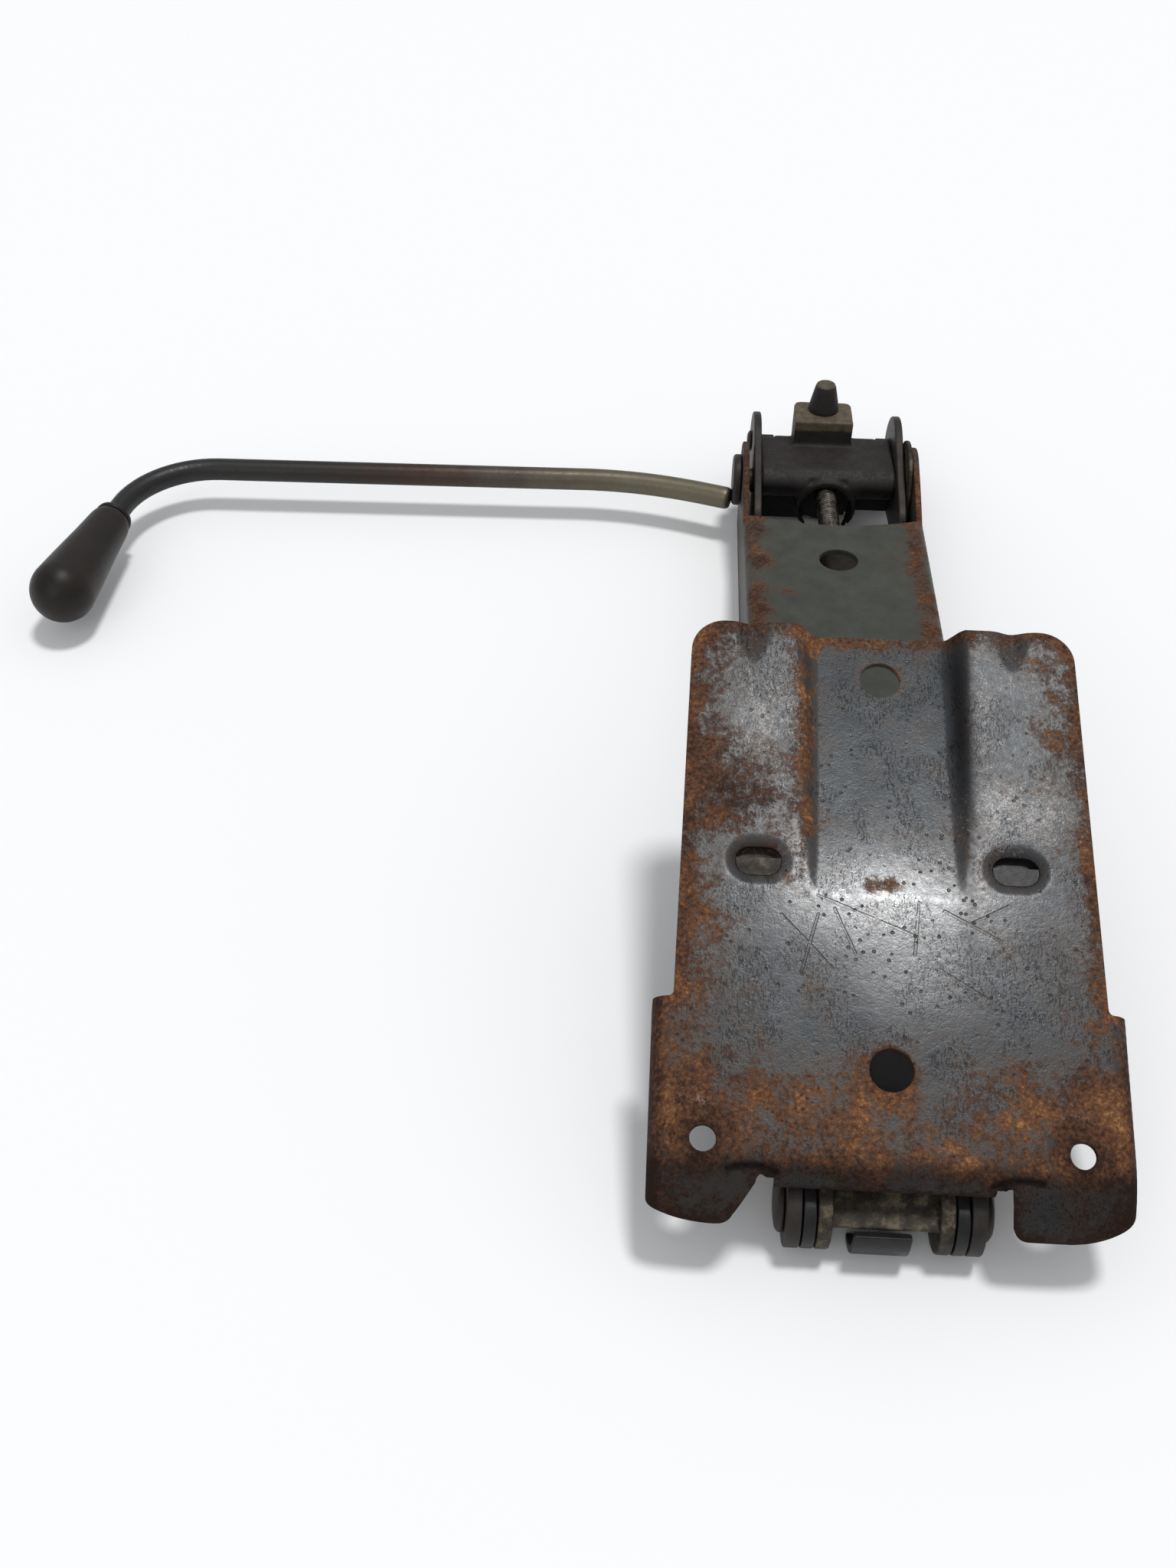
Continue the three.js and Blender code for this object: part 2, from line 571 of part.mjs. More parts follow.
// Straight runs joined by bends: each bend starts and ends 'reach' from its corner.
function barPath() {
  const path = new THREE.CurvePath();
  const round = 0.58;
  let from = BAR_START;
  BAR_CORNERS.forEach(({ at, reach }, i) => {
    const next = i + 1 < BAR_CORNERS.length ? BAR_CORNERS[i + 1].at : BAR_END;
    const into = at.clone().sub(from).setLength(reach);
    const out = next.clone().sub(at).setLength(reach);
    const start = at.clone().sub(into);
    const end = at.clone().add(out);
    path.add(new THREE.LineCurve3(from, start));
    path.add(new THREE.CubicBezierCurve3(start, start.clone().lerp(at, round), end.clone().lerp(at, round), end));
    from = end;
  });
  path.add(new THREE.LineCurve3(from, BAR_END));
  return path;
}

function leverBar() {
  const round = new THREE.Shape();
  round.absarc(0, 0, ROD_R, 0, 2 * Math.PI, false);
  const bar = new THREE.ExtrudeGeometry(round, { steps: 56, curveSegments: 7, extrudePath: barPath() });
  return solid(bar).subtract(block([HUB_FACE - GAP, 190, -40], [0, 240, 10]));
}

// A turned piece on the knob's axis, its heights counted from the neck.
function onKnobAxis(name, profile, material) {
  const lathe = new THREE.LatheGeometry(profile.map(([r, h]) => new THREE.Vector2(r, h)), 28);
  const mesh = piece(name, solid(lathe), material, armFrame);
  mesh.quaternion.setFromUnitVectors(new THREE.Vector3(0, 1, 0), KNOB_AXIS);
  mesh.position.copy(KNOB_NECK);
}

piece('lever_hub', leverHub(), DARK_STEEL, armFrame);
piece('lever_bar', leverBar(), ZINC, armFrame);

const KNOB_R = 15.6;
const KNOB_BALL = 59.5;
const bore = ROD_R + 0.5;
const knobProfile = [[0, 24], [bore, 24], [bore, 0], [9, 0], [9.9, 1.2], [11.7, 20], [14, 40]];
for (let turn = -10; turn < 90; turn += 14) {
  knobProfile.push([KNOB_R * Math.cos(deg(turn)), KNOB_BALL + KNOB_R * Math.sin(deg(turn))]);
}
knobProfile.push([0, KNOB_BALL + KNOB_R]);
onKnobAxis('lever_knob', knobProfile, KNOB_BLACK);
onKnobAxis('knob_collar', [[bore, -4], [8, -4], [9.3, -2.8], [9.3, -GAP], [bore, -GAP], [bore, -4]], KNOB_BLACK);

export default group;
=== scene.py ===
"""Looks of a tilting support arm: pressed mounting plate, channel arm, cast head and clamp lever.

Shapes are worked out in millimetres in two local frames and placed in metres:
  arm frame    origin on the arm's flat top face, Y along the arm, Z out of that face
  plate frame  origin at the plate's far hole, Y along the plate, Z out of its face
"""

import json
import math

import bmesh
import bpy
import numpy as np
from mathutils import Matrix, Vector
from mathutils.geometry import delaunay_2d_cdt


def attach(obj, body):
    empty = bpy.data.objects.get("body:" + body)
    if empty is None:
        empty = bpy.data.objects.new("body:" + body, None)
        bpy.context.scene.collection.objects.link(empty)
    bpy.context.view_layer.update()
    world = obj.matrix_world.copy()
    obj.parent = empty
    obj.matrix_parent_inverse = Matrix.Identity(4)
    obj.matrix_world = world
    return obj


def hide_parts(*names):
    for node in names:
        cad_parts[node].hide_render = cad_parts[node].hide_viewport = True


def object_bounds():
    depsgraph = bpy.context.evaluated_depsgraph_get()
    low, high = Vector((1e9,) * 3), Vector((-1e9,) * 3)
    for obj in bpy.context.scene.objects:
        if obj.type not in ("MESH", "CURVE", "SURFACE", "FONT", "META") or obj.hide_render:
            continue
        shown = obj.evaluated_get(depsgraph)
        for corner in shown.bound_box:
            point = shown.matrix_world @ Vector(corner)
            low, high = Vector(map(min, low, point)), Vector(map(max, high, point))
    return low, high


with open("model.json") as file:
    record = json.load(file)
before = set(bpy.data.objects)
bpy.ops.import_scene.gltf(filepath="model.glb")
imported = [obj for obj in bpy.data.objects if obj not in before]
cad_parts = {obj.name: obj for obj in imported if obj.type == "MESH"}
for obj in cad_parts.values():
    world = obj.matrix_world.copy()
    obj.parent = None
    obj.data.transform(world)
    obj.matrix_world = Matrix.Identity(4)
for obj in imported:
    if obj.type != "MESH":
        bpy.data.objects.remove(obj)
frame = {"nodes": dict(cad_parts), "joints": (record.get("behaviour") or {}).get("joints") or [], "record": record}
CAD_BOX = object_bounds()

# ---- sizes in millimetres, the same as the frame's ----------------------------------
PLATE_MOUNT_Y = -120.0
SHEET = 2.5
WING_FAR, WING_NEAR, WING_CORNER = 72.8, 75.6, 13.0
PLATE_FAR, SKIRT_FAR = 19.0, -131.6
SKIRT_HALF, SKIRT_BEND, SKIRT_DROP = 82.8, 7.0, 10.0
LIP, LIP_BEND, LIP_DROP = -194.3, 9.0, 1.5
ROLL_START, ROLL_RADIUS = -180.0, 36.0
NEAR_EDGE = {
    -1: {"lip": 39.5, "notch": 46.1, "ear": 54.4, "tip": -207.2},
    1: {"lip": 35.2, "notch": 40.4, "ear": 42.9, "tip": -208.2},
}
RECESS_DEPTH, RECESS_END, RECESS_FLOOR, RECESS_ROOT = 10.0, -92.0, 24.5, 32.0
CENTRE_HOLE_R, NEAR_HOLE_Y = 7.75, -154.7
CORNER_HOLE, CORNER_HOLE_R = (64.2, -180.6), 4.6
SLOT_X, SLOT_Y, SLOT_HALF, SLOT_R = 46.4, -79.5, 3.0, 5.6
GROOVE_X, GROOVE_LENGTH, GROOVE_DEPTH = 49.6, 20.0, 2.6
CORNER_DISH, SLOT_DISH, CREASE_DEPTH, WAVINESS = 1.5, 0.8, 1.5, 0.05

ARM_HALF, ARM_SHEET, ARM_BEND = 44.4, 3.0, 5.0
ARM_FAR, ARM_DIP, ARM_NEAR, FLANGE_NEAR = 176.0, 7.0, -90.0, -128.0
REST_Y, REST_Z, ARM_SLOPE = 205.0, -38.5, math.radians(4.2)
ARM_HOLE_Y, ARM_HOLE_R = 138.0, 9.1
EAR_R, SHAFT_R = 19.5, 6.0
PIN_R, KNUCKLE_R, LEAF_BACK = 6.0, 15.5, -150.0
LAYER = {"bracket": (18.4, 23.4), "yoke": (23.9, 28.4), "leaf": (28.9, 34.2), "heads": (34.6, 37.6)}
YOKE_BACK = -20.0
CHEEK_IN, CHEEK_T = 34.5, 4.0
STUB_IN = 16.3
SCREW_Z, SCREW_R, SCREW_FROM, SCREW_TO = -14.0, 5.4, 178.0, 285.0
SCREW_PITCH, THREAD_DEPTH = 2.0, 1.1
RIVET_Y, RIVET_Z, RIVET_R = 256.0, -4.0, 3.5
STUD, PAD_TOP = (-2.0, 260.0), 13.5
BAR_R, BAR_Z = 5.7, -16.0
KNOB_R, KNOB_BALL, KNOB_BORE_DEPTH = 15.6, 59.5, 24.0
AXIS_POINT = 0.01  # smallest radius of a turned profile, so that its rings stay open
GAP = 0.3


# ---- local frames -------------------------------------------------------------------
class Local:
    """A frame with X along the row's X and Z along 'up'; it takes millimetres to metres."""

    def __init__(self, origin, up):
        self.x = np.array([1.0, 0.0, 0.0])
        self.z = np.array(up, float) / np.linalg.norm(up)
        self.y = np.cross(self.z, self.x)
        self.origin = np.array(origin, float)

    def place(self, points):
        p = np.asarray(points, float) / 1000
        return self.origin + p[..., :1] * self.x + p[..., 1:2] * self.y + p[..., 2:3] * self.z

    def local(self, point):
        d = (np.array(point, float) - self.origin) * 1000
        return np.stack([d @ self.x, d @ self.y, d @ self.z], -1)


mounts = {m["name"]: m for m in frame["record"]["mounts"]}
joints = {j["name"]: j for j in frame["joints"]}
ARM = Local(mounts["arm_face"]["pos_m"], mounts["arm_face"]["axis"])
PLATE = Local(mounts["plate_face"]["pos_m"], mounts["plate_face"]["axis"])
PLATE.origin = PLATE.origin - PLATE_MOUNT_Y / 1000 * PLATE.y
PIN_PLATE = PLATE.local(joints["plate_tilt"]["pos_m"])[1:]
PIN_ARM = ARM.local(joints["plate_tilt"]["pos_m"])[1:]
SHAFT = ARM.local(joints["head_tilt"]["pos_m"])[1:]


# ---- outlines -----------------------------------------------------------------------
def smooth(t):
    """Zero below 0, one above 1, and an S-shaped rise between."""
    u = np.clip(t, 0, 1)
    return u * u * (3 - 2 * u)


def arc(x, y, radius, start, stop, steps=8):
    """Points on a circle about (x, y) from one bearing in degrees to another."""
    a = np.radians(np.linspace(start, stop, steps + 1))
    return np.stack([x + radius * np.cos(a), y + radius * np.sin(a)], 1)


def bezier(p0, p1, p2, steps=10):
    """Quadratic curve from p0 to p2 pulled towards p1."""
    t = np.linspace(0, 1, steps + 1)[:, None]
    return (1 - t) ** 2 * np.array(p0) + 2 * t * (1 - t) * np.array(p1) + t**2 * np.array(p2)


def mirrored(half):
    """A closed outline from its right half, which runs from the near middle to the far middle."""
    left = half[::-1] * [-1, 1]
    return np.concatenate([half, left[1:-1]])


def slot_loop(x, y, half, radius):
    """Outline of a slot with round ends, 'half' the length between their centres."""
    return np.concatenate([arc(x + half, y, radius, -90, 90), arc(x - half, y, radius, 90, 270)])


def link_loop(a, ra, b, rb):
    """Outline stretched round two circles of radius ra about a and rb about b."""
    d = np.subtract(b, a)
    bearing = math.degrees(math.atan2(d[1], d[0]))
    lean = math.degrees(math.acos((ra - rb) / math.hypot(*d)))
    first = arc(*a, ra, bearing + lean, bearing - lean + 360, 28)
    return np.concatenate([first, arc(*b, rb, bearing - lean, bearing + lean, 16)])


def rest_line(y):
    """Height of the arm's lower flange edge, where it lies on a table."""
    return REST_Z + (y - REST_Y) * math.tan(ARM_SLOPE)


# ---- meshes -------------------------------------------------------------------------
def make(name, vertices, faces, body, material, stands_for=()):
    """A smooth-shaded piece in place on its body, standing for the CAD nodes it replaces."""
    mesh = bpy.data.meshes.new(name)
    mesh.from_pydata(np.asarray(vertices).tolist(), [], [list(f) for f in faces])
    mesh.polygons.foreach_set("use_smooth", np.ones(len(mesh.polygons), bool))
    mesh.materials.append(material)
    piece = bpy.data.objects.new(name, mesh)
    bpy.context.scene.collection.objects.link(piece)
    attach(piece, body)
    if stands_for:
        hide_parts(*stands_for)
    return piece


def grid_faces(rows, columns, wrap_rows=False, wrap_columns=True):
    """Quads between neighbouring points of a grid stored row by row."""
    r = np.arange(rows if wrap_rows else rows - 1)[:, None]
    c = np.arange(columns if wrap_columns else columns - 1)[None, :]
    below, above = r % rows * columns, (r + 1) % rows * columns
    right = (c + 1) % columns
    return np.stack([below + c, below + right, above + right, above + c], -1).reshape(-1, 4)


def rings_to_mesh(rings, closed_loop=False):
    """Skin over rings of points: (rings, points, 3). Open stacks are closed by a pole at each end."""
    rows, columns = rings.shape[:2]
    points = rings.reshape(-1, 3)
    faces = grid_faces(rows, columns, wrap_rows=closed_loop).tolist()
    if not closed_loop:
        first, last = rings[0].mean(0), rings[-1].mean(0)
        points = np.concatenate([points, [first, last]])
        c = np.arange(columns)
        nxt = (c + 1) % columns
        low = np.stack([nxt, c, np.full(columns, rows * columns)], 1)
        top = (rows - 1) * columns
        high = np.stack([top + c, top + nxt, np.full(columns, rows * columns + 1)], 1)
        faces += low.tolist() + high.tolist()
    return points, faces


def soften(profile, radius, steps=3):
    """Profile with each inner corner replaced by a short curve that starts 'radius' before it."""
    p = np.asarray(profile, float)
    out = [p[:1]]
    for before, corner, after in zip(p, p[1:], p[2:]):
        a, b = before - corner, after - corner
        ra = min(radius, np.linalg.norm(a) * 0.45)
        rb = min(radius, np.linalg.norm(b) * 0.45)
        start = corner + a / np.linalg.norm(a) * ra
        stop = corner + b / np.linalg.norm(b) * rb
        out.append(bezier(start, corner, stop, steps))
    out.append(p[-1:])
    return np.concatenate(out)


def turned_rings(profile, centre, axis, sides=48):
    """Rings of a turned piece: profile rows are (radius, height along the axis)."""
    w = np.array(axis, float) / np.linalg.norm(axis)
    helper = np.array([0.0, 0.0, 1.0]) if abs(w[2]) < 0.9 else np.array([1.0, 0.0, 0.0])
    u = np.cross(helper, w)
    u /= np.linalg.norm(u)
    v = np.cross(w, u)
    a = np.linspace(0, 2 * math.pi, sides, endpoint=False)
    around = np.cos(a)[:, None] * u + np.sin(a)[:, None] * v
    p = np.asarray(profile, float)
    return np.array(centre) + p[:, 1, None, None] * w + p[:, 0, None, None] * around[None]


def turned(name, profile, place, centre, axis, body, material, stands_for=(), sides=48, ring=False):
    """Turned piece; a 'ring' profile is a closed loop with a bore through it."""
    points, faces = rings_to_mesh(turned_rings(profile, centre, axis, sides), ring)
    return make(name, place(points), faces, body, material, stands_for)


def tube_rings(path, radii, sides=24):
    """Rings square to a path that never runs straight up, each with its own radius."""
    t = np.gradient(path, axis=0)
    t /= np.linalg.norm(t, axis=1)[:, None]
    side = np.cross(t, [0.0, 0.0, 1.0])
    side /= np.linalg.norm(side, axis=1)[:, None]
    up = np.cross(side, t)
    a = np.linspace(0, 2 * math.pi, sides, endpoint=False)[None, :, None]
    around = np.cos(a) * up[:, None] + np.sin(a) * side[:, None]
    return path[:, None] + np.asarray(radii)[:, None, None] * around


# ---- sheet metal --------------------------------------------------------------------
def spread(loop, step):
    """Closed loop with points added so that no side is longer than 'step'."""
    ahead = np.roll(loop, -1, 0)
    parts = np.maximum(1, np.ceil(np.linalg.norm(ahead - loop, axis=1) / step).astype(int))
    start = np.repeat(loop, parts, 0)
    way = np.repeat(ahead - loop, parts, 0)
    share = np.concatenate([np.arange(n) / n for n in parts])[:, None]
    return start + way * share


def spread_open(line, step):
    """Points along an open line about 'step' apart."""
    s = np.concatenate([[0], np.cumsum(np.linalg.norm(np.diff(line, axis=0), axis=1))])
    at = np.arange(0, s[-1] + step, step)
    return np.column_stack([np.interp(at, s, line[:, 0]), np.interp(at, s, line[:, 1])])


def inside(points, loop):
    """Which points a closed loop goes round, by counting the sides crossed to their right."""
    x, y = points[:, :1], points[:, 1:]
    a, b = loop, np.roll(loop, -1, 0)
    rise = b[:, 1] - a[:, 1]
    rise = np.where(rise == 0, 1e-12, rise)
    at = a[:, 0] + (y - a[:, 1]) * (b[:, 0] - a[:, 0]) / rise
    crossed = ((a[:, 1] > y) != (b[:, 1] > y)) & (x < at)
    return crossed.sum(1) % 2 == 1


def nearest(points, targets):
    """Distance from each point to the nearest target."""
    d = [np.hypot(part[:, :1] - targets[:, 0], part[:, 1:] - targets[:, 1]).min(1)
         for part in np.array_split(points, max(1, len(points) // 4000))]
    return np.concatenate(d)


def lattice(low, high, step):
    """Staggered rows of points that fill a rectangle."""
    rows = np.arange(low[1], high[1], step * 0.87)
    across = np.arange(low[0], high[0], step)
    x = across[None, :] + (np.arange(len(rows)) % 2 * step / 2)[:, None]
    return np.stack([x, np.broadcast_to(rows[:, None], x.shape)], -1).reshape(-1, 2)


def cut_blank(outline, holes, step, fine=()):
    """Flat blank: outline, holes and a lattice of inner points joined by a constrained
    triangulation. 'fine' lists windows (low, high, step) with closer points."""
    loops = [spread(np.asarray(loop, float), step) for loop in (outline, *holes)]
    rim = np.concatenate(loops)
    inner = lattice(rim.min(0), rim.max(0), step)
    gap = np.full(len(inner), step * 0.6)
    for low, high, closer in fine:
        within = ((inner > low) & (inner < high)).all(1)
        extra = lattice(np.array(low), np.array(high), closer)
        inner = np.concatenate([inner[~within], extra])
        gap = np.concatenate([gap[~within], np.full(len(extra), closer * 0.6)])
    keep = inside(inner, loops[0]) & (nearest(inner, rim) > gap)
    for loop in loops[1:]:
        keep &= ~inside(inner, loop)
    points = np.concatenate([rim, inner[keep]])
    edges, start = [], 0
    for loop in loops:
        n = np.arange(len(loop))
        edges += np.stack([start + n, start + (n + 1) % len(loop)], 1).tolist()
        start += len(loop)
    found = delaunay_2d_cdt(points.tolist(), edges, [], 1, 1e-6, False)
    flat = np.array([tuple(v) for v in found[0]])
    faces = np.array([f for f in found[2] if len(f) == 3])
    middle = flat[faces].mean(1)
    solid = inside(middle, loops[0])
    for loop in loops[1:]:
        solid &= ~inside(middle, loop)
    faces = faces[solid]
    p, q, r = flat[faces[:, 0]], flat[faces[:, 1]], flat[faces[:, 2]]
    (ax, ay), (bx, by) = (q - p).T, (r - p).T
    turn = ax * by - ay * bx
    faces[turn < 0] = faces[turn < 0][:, ::-1]
    faces = faces[np.abs(turn) > 1e-4]
    used = np.unique(faces)
    renumber = np.zeros(len(flat), int)
    renumber[used] = np.arange(len(used))
    return flat[used], renumber[faces], loops


def sheet(name, outline, holes, shape, place, thickness, body, material, stands_for=(),
          step=3.0, edge=0.5, fine=(), fields=None):
    """Sheet-metal piece: a cut blank, bent by shape(u, v) and given its thickness inwards."""
    flat, faces, loops = cut_blank(outline, holes, step, fine)
    piece = make(name, place(shape(flat)), faces, body, material, stands_for)
    store(piece, "rim", nearest(flat, spread(loops[0], 2.0)))
    for field, value in (fields(flat) if fields else {}).items():
        store(piece, field, value)
    thicken(piece, thickness, edge)
    return piece


def store(piece, name, values):
    """Keeps one number for each vertex on the mesh, for the materials to read."""
    layer = piece.data.attributes.new(name, "FLOAT", "POINT")
    layer.data.foreach_set("value", np.asarray(values, np.float32))


def local_points(piece, frame_of):
    """Vertices of a finished piece in millimetres of a local frame."""
    flat = np.empty(len(piece.data.vertices) * 3)
    piece.data.vertices.foreach_get("co", flat)
    return frame_of.local(flat.reshape(-1, 3))


def thicken(piece, thickness, edge):
    """Wall added behind the skin, with its edges worn round."""
    wall = piece.modifiers.new("wall", "SOLIDIFY")
    wall.thickness = thickness / 1000
    wall.offset = -1
    wall.use_even_offset = True
    round_edges(piece, edge)


def round_edges(piece, width):
    """Bevel of 'width' millimetres on every edge sharper than 40 degrees."""
    bevel = piece.modifiers.new("worn_edges", "BEVEL")
    bevel.width = width / 1000
    bevel.segments = 2
    bevel.limit_method = "ANGLE"
    bevel.angle_limit = math.radians(40)
    bevel.harden_normals = True


def side_face(x):
    """Puts a blank's (u, v) at (x, Y, Z)."""
    return lambda flat: np.column_stack([np.full(len(flat), x), flat])


def side_plate(name, outline, holes, x0, x1, place, body, material, stands_for=(), step=3.0, edge=0.6):
    """Flat plate square to X, its outline given in (Y, Z)."""
    return sheet(name, outline, holes, side_face(x1), place, x1 - x0, body, material, stands_for,
                 step, edge)


def join(name, pieces, stands_for):
    """One piece out of several whose modifiers are put into their meshes first."""
    for piece in pieces:
        bake(piece)
    first = pieces[0]
    with bpy.context.temp_override(active_object=first, selected_editable_objects=pieces):
        bpy.ops.object.join()
    first.name = name
    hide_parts(*stands_for)
    return first


def bake(piece):
    """Puts a piece's modifiers into its mesh."""
    bpy.context.view_layer.update()
    whole = piece.evaluated_get(bpy.context.evaluated_depsgraph_get())
    mesh = bpy.data.meshes.new_from_object(whole)
    piece.modifiers.clear()
    piece.data = mesh


def merged_copy(name, node, body, material):
    """New piece with a CAD node's shape, its loose triangles joined and flat faces cleaned."""
    mesh = frame["nodes"][node].data.copy()
    work = bmesh.new()
    work.from_mesh(mesh)
    bmesh.ops.remove_doubles(work, verts=work.verts, dist=1e-6)
    bmesh.ops.dissolve_limit(work, angle_limit=math.radians(1), verts=work.verts, edges=work.edges)
    work.to_mesh(mesh)
    work.free()
    mesh.name = name
    mesh.materials.clear()
    mesh.materials.append(material)
    piece = bpy.data.objects.new(name, mesh)
    bpy.context.scene.collection.objects.link(piece)
    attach(piece, body)
    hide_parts(node)
    return piece


# ---- finishes -----------------------------------------------------------------------
class Finish:
    """One material's nodes. Patterns lie on Object coordinates, in metres."""

    def __init__(self, name, roughness, metallic=0.0, **constants):
        self.material = bpy.data.materials.new(name)
        self.material.use_nodes = True
        self.tree = self.material.node_tree
        self.shader = self.tree.nodes["Principled BSDF"]
        self.place = self.add("ShaderNodeTexCoord").outputs["Object"]
        self.set("Roughness", roughness)
        self.set("Metallic", metallic)
        for socket, value in constants.items():
            self.set(socket.replace("_", " "), value)

    def add(self, kind, **settings):
        node = self.tree.nodes.new(kind)
        for key, value in settings.items():
            setattr(node, key, value)
        return node

    def feed(self, socket, value):
        if isinstance(value, bpy.types.NodeSocket):
            self.tree.links.new(value, socket)
        else:
            socket.default_value = value

    def set(self, socket, value):
        self.feed(self.shader.inputs[socket], value)

    def stretch(self, scale, turn=0.0):
        """Coordinates squeezed along each axis after a turn about Z."""
        node = self.add("ShaderNodeMapping")
        node.inputs["Rotation"].default_value = (0.0, 0.0, turn)
        node.inputs["Scale"].default_value = scale
        self.feed(node.inputs["Vector"], self.place)
        return node.outputs["Vector"]

    def noise(self, size, detail=4.0, rough=0.6, at=None, warp=0.0):
        """Noise whose blobs are about 'size' millimetres across."""
        node = self.add("ShaderNodeTexNoise")
        self.feed(node.inputs["Vector"], at or self.place)
        node.inputs["Scale"].default_value = 1000.0 / size
        node.inputs["Detail"].default_value = detail
        node.inputs["Roughness"].default_value = rough
        node.inputs["Distortion"].default_value = warp
        return node.outputs["Fac"]

    def cells(self, size):
        """Distance from the middle of random cells about 'size' millimetres across."""
        node = self.add("ShaderNodeTexVoronoi")
        self.feed(node.inputs["Vector"], self.place)
        node.inputs["Scale"].default_value = 1000.0 / size
        return node.outputs["Distance"]

    def field(self, name):
        return self.add("ShaderNodeAttribute", attribute_name=name).outputs["Fac"]

    def coordinate(self, axis):
        node = self.add("ShaderNodeSeparateXYZ")
        self.feed(node.inputs[0], self.place)
        return node.outputs[axis]

    def math(self, kind, a, b=0.0, clamp=False):
        node = self.add("ShaderNodeMath", operation=kind, use_clamp=clamp)
        self.feed(node.inputs[0], a)
        self.feed(node.inputs[1], b)
        return node.outputs[0]

    def total(self, *terms):
        """Sum of (value, weight) pairs, each noise counted from its middle value."""
        result = 0.0
        for value, weight, middle in terms:
            part = self.math("MULTIPLY", self.math("SUBTRACT", value, middle), weight)
            result = self.math("ADD", part, result)
        return result

    def rise(self, value, low, high, to_low=0.0, to_high=1.0):
        """S-shaped step of a value between two levels."""
        node = self.add("ShaderNodeMapRange", interpolation_type="SMOOTHSTEP")
        self.feed(node.inputs["Value"], value)
        node.inputs["From Min"].default_value = low
        node.inputs["From Max"].default_value = high
        node.inputs["To Min"].default_value = to_low
        node.inputs["To Max"].default_value = to_high
        return node.outputs["Result"]

    def ramp(self, value, *stops):
        """Colour through (level, colour) stops."""
        node = self.add("ShaderNodeValToRGB")
        band = node.color_ramp
        while len(band.elements) < len(stops):
            band.elements.new(0.5)
        for element, (level, colour) in zip(band.elements, stops):
            element.position = level
            element.color = (*colour, 1.0)
        self.feed(node.inputs["Fac"], value)
        return node.outputs["Color"]

    def mix(self, share, a, b):
        node = self.add("ShaderNodeMix", data_type="RGBA")
        self.feed(node.inputs["Factor"], share)
        self.feed(node.inputs["A"], a if isinstance(a, bpy.types.NodeSocket) else (*a, 1.0))
        self.feed(node.inputs["B"], b if isinstance(b, bpy.types.NodeSocket) else (*b, 1.0))
        return node.outputs["Result"]

    def relief(self, height, depth):
        """Bump of a height pattern whose full step is 'depth' millimetres."""
        node = self.add("ShaderNodeBump")
        node.inputs["Strength"].default_value = 1.0
        node.inputs["Distance"].default_value = depth / 1000
        self.feed(node.inputs["Height"], height)
        self.set("Normal", node.outputs["Normal"])

    def scratch(self, a, b, width):
        """One straight scratch between two points of the plate, 'width' millimetres wide."""
        start, stop = PLATE.place(np.array([[*a, 0.0], [*b, 0.0]]))
        run = stop - start
        away = self.add("ShaderNodeVectorMath", operation="SUBTRACT")
        self.feed(away.inputs[0], self.place)
        self.feed(away.inputs[1], start)
        along = self.add("ShaderNodeVectorMath", operation="DOT_PRODUCT")
        self.feed(along.inputs[0], away.outputs[0])
        self.feed(along.inputs[1], run / (run @ run))
        nearest_point = self.add("ShaderNodeVectorMath", operation="SCALE")
        self.feed(nearest_point.inputs[0], run)
        self.feed(nearest_point.inputs["Scale"], self.math("ADD", along.outputs["Value"], 0.0, clamp=True))
        gap = self.add("ShaderNodeVectorMath", operation="DISTANCE")
        self.feed(gap.inputs[0], away.outputs[0])
        self.feed(gap.inputs[1], nearest_point.outputs[0])
        wander = self.math("MULTIPLY", self.math("SUBTRACT", self.noise(6.0, 2.0), 0.5), 0.0008)
        return self.rise(self.math("ADD", gap.outputs["Value"], wander), width / 1000, width / 3000)

    def scratches(self, turn, width, length, amount):
        """Long thin lines at one bearing: the crests of a stretched noise, in scattered places."""
        at = self.stretch((1.0, width / length, 1.0), turn)
        line = self.rise(self.noise(width, 1.0, 0.4, at), 0.5 + amount, 0.5 + amount + 0.05)
        return self.math("MULTIPLY", line, self.rise(self.noise(24.0, 2.0), 0.48, 0.58))


RUST_DARK, RUST_MID, RUST_ORANGE = (0.028, 0.013, 0.009), (0.092, 0.039, 0.020), (0.165, 0.072, 0.029)


def rust_colour(f, tone):
    """Rust from dark maroon to orange, speckled, with 'tone' pushing it darker."""
    grain = f.noise(1.6, 5.0, 0.75)
    broad = f.noise(17.0, 4.0, 0.6)
    level = f.total((grain, 2.2, 0.5), (broad, 1.3, 0.5), (tone, -0.35, 0.0))
    level = f.math("ADD", level, 0.5, clamp=True)
    return f.ramp(level, (0.12, RUST_DARK), (0.45, RUST_MID), (0.72, RUST_ORANGE), (1.0, (0.36, 0.17, 0.06)))


PLATE_SCRATCHES = [
    ((-25, -92), (10, -106)), ((9.5, -62), (10.5, -80)), ((11, -93), (9, -113)), ((-22, -34), (-8, -44)),
    ((18, -118), (34, -128)), ((-12, -113), (-19, -97)), ((28, -101), (43, -93)), ((14, -24), (12.5, -48)),
    ((-38, -100), (-20, -119)), ((-31, -121), (-25, -99)), ((20, -96), (39, -106)), ((-16, -58), (-3, -66)),
]


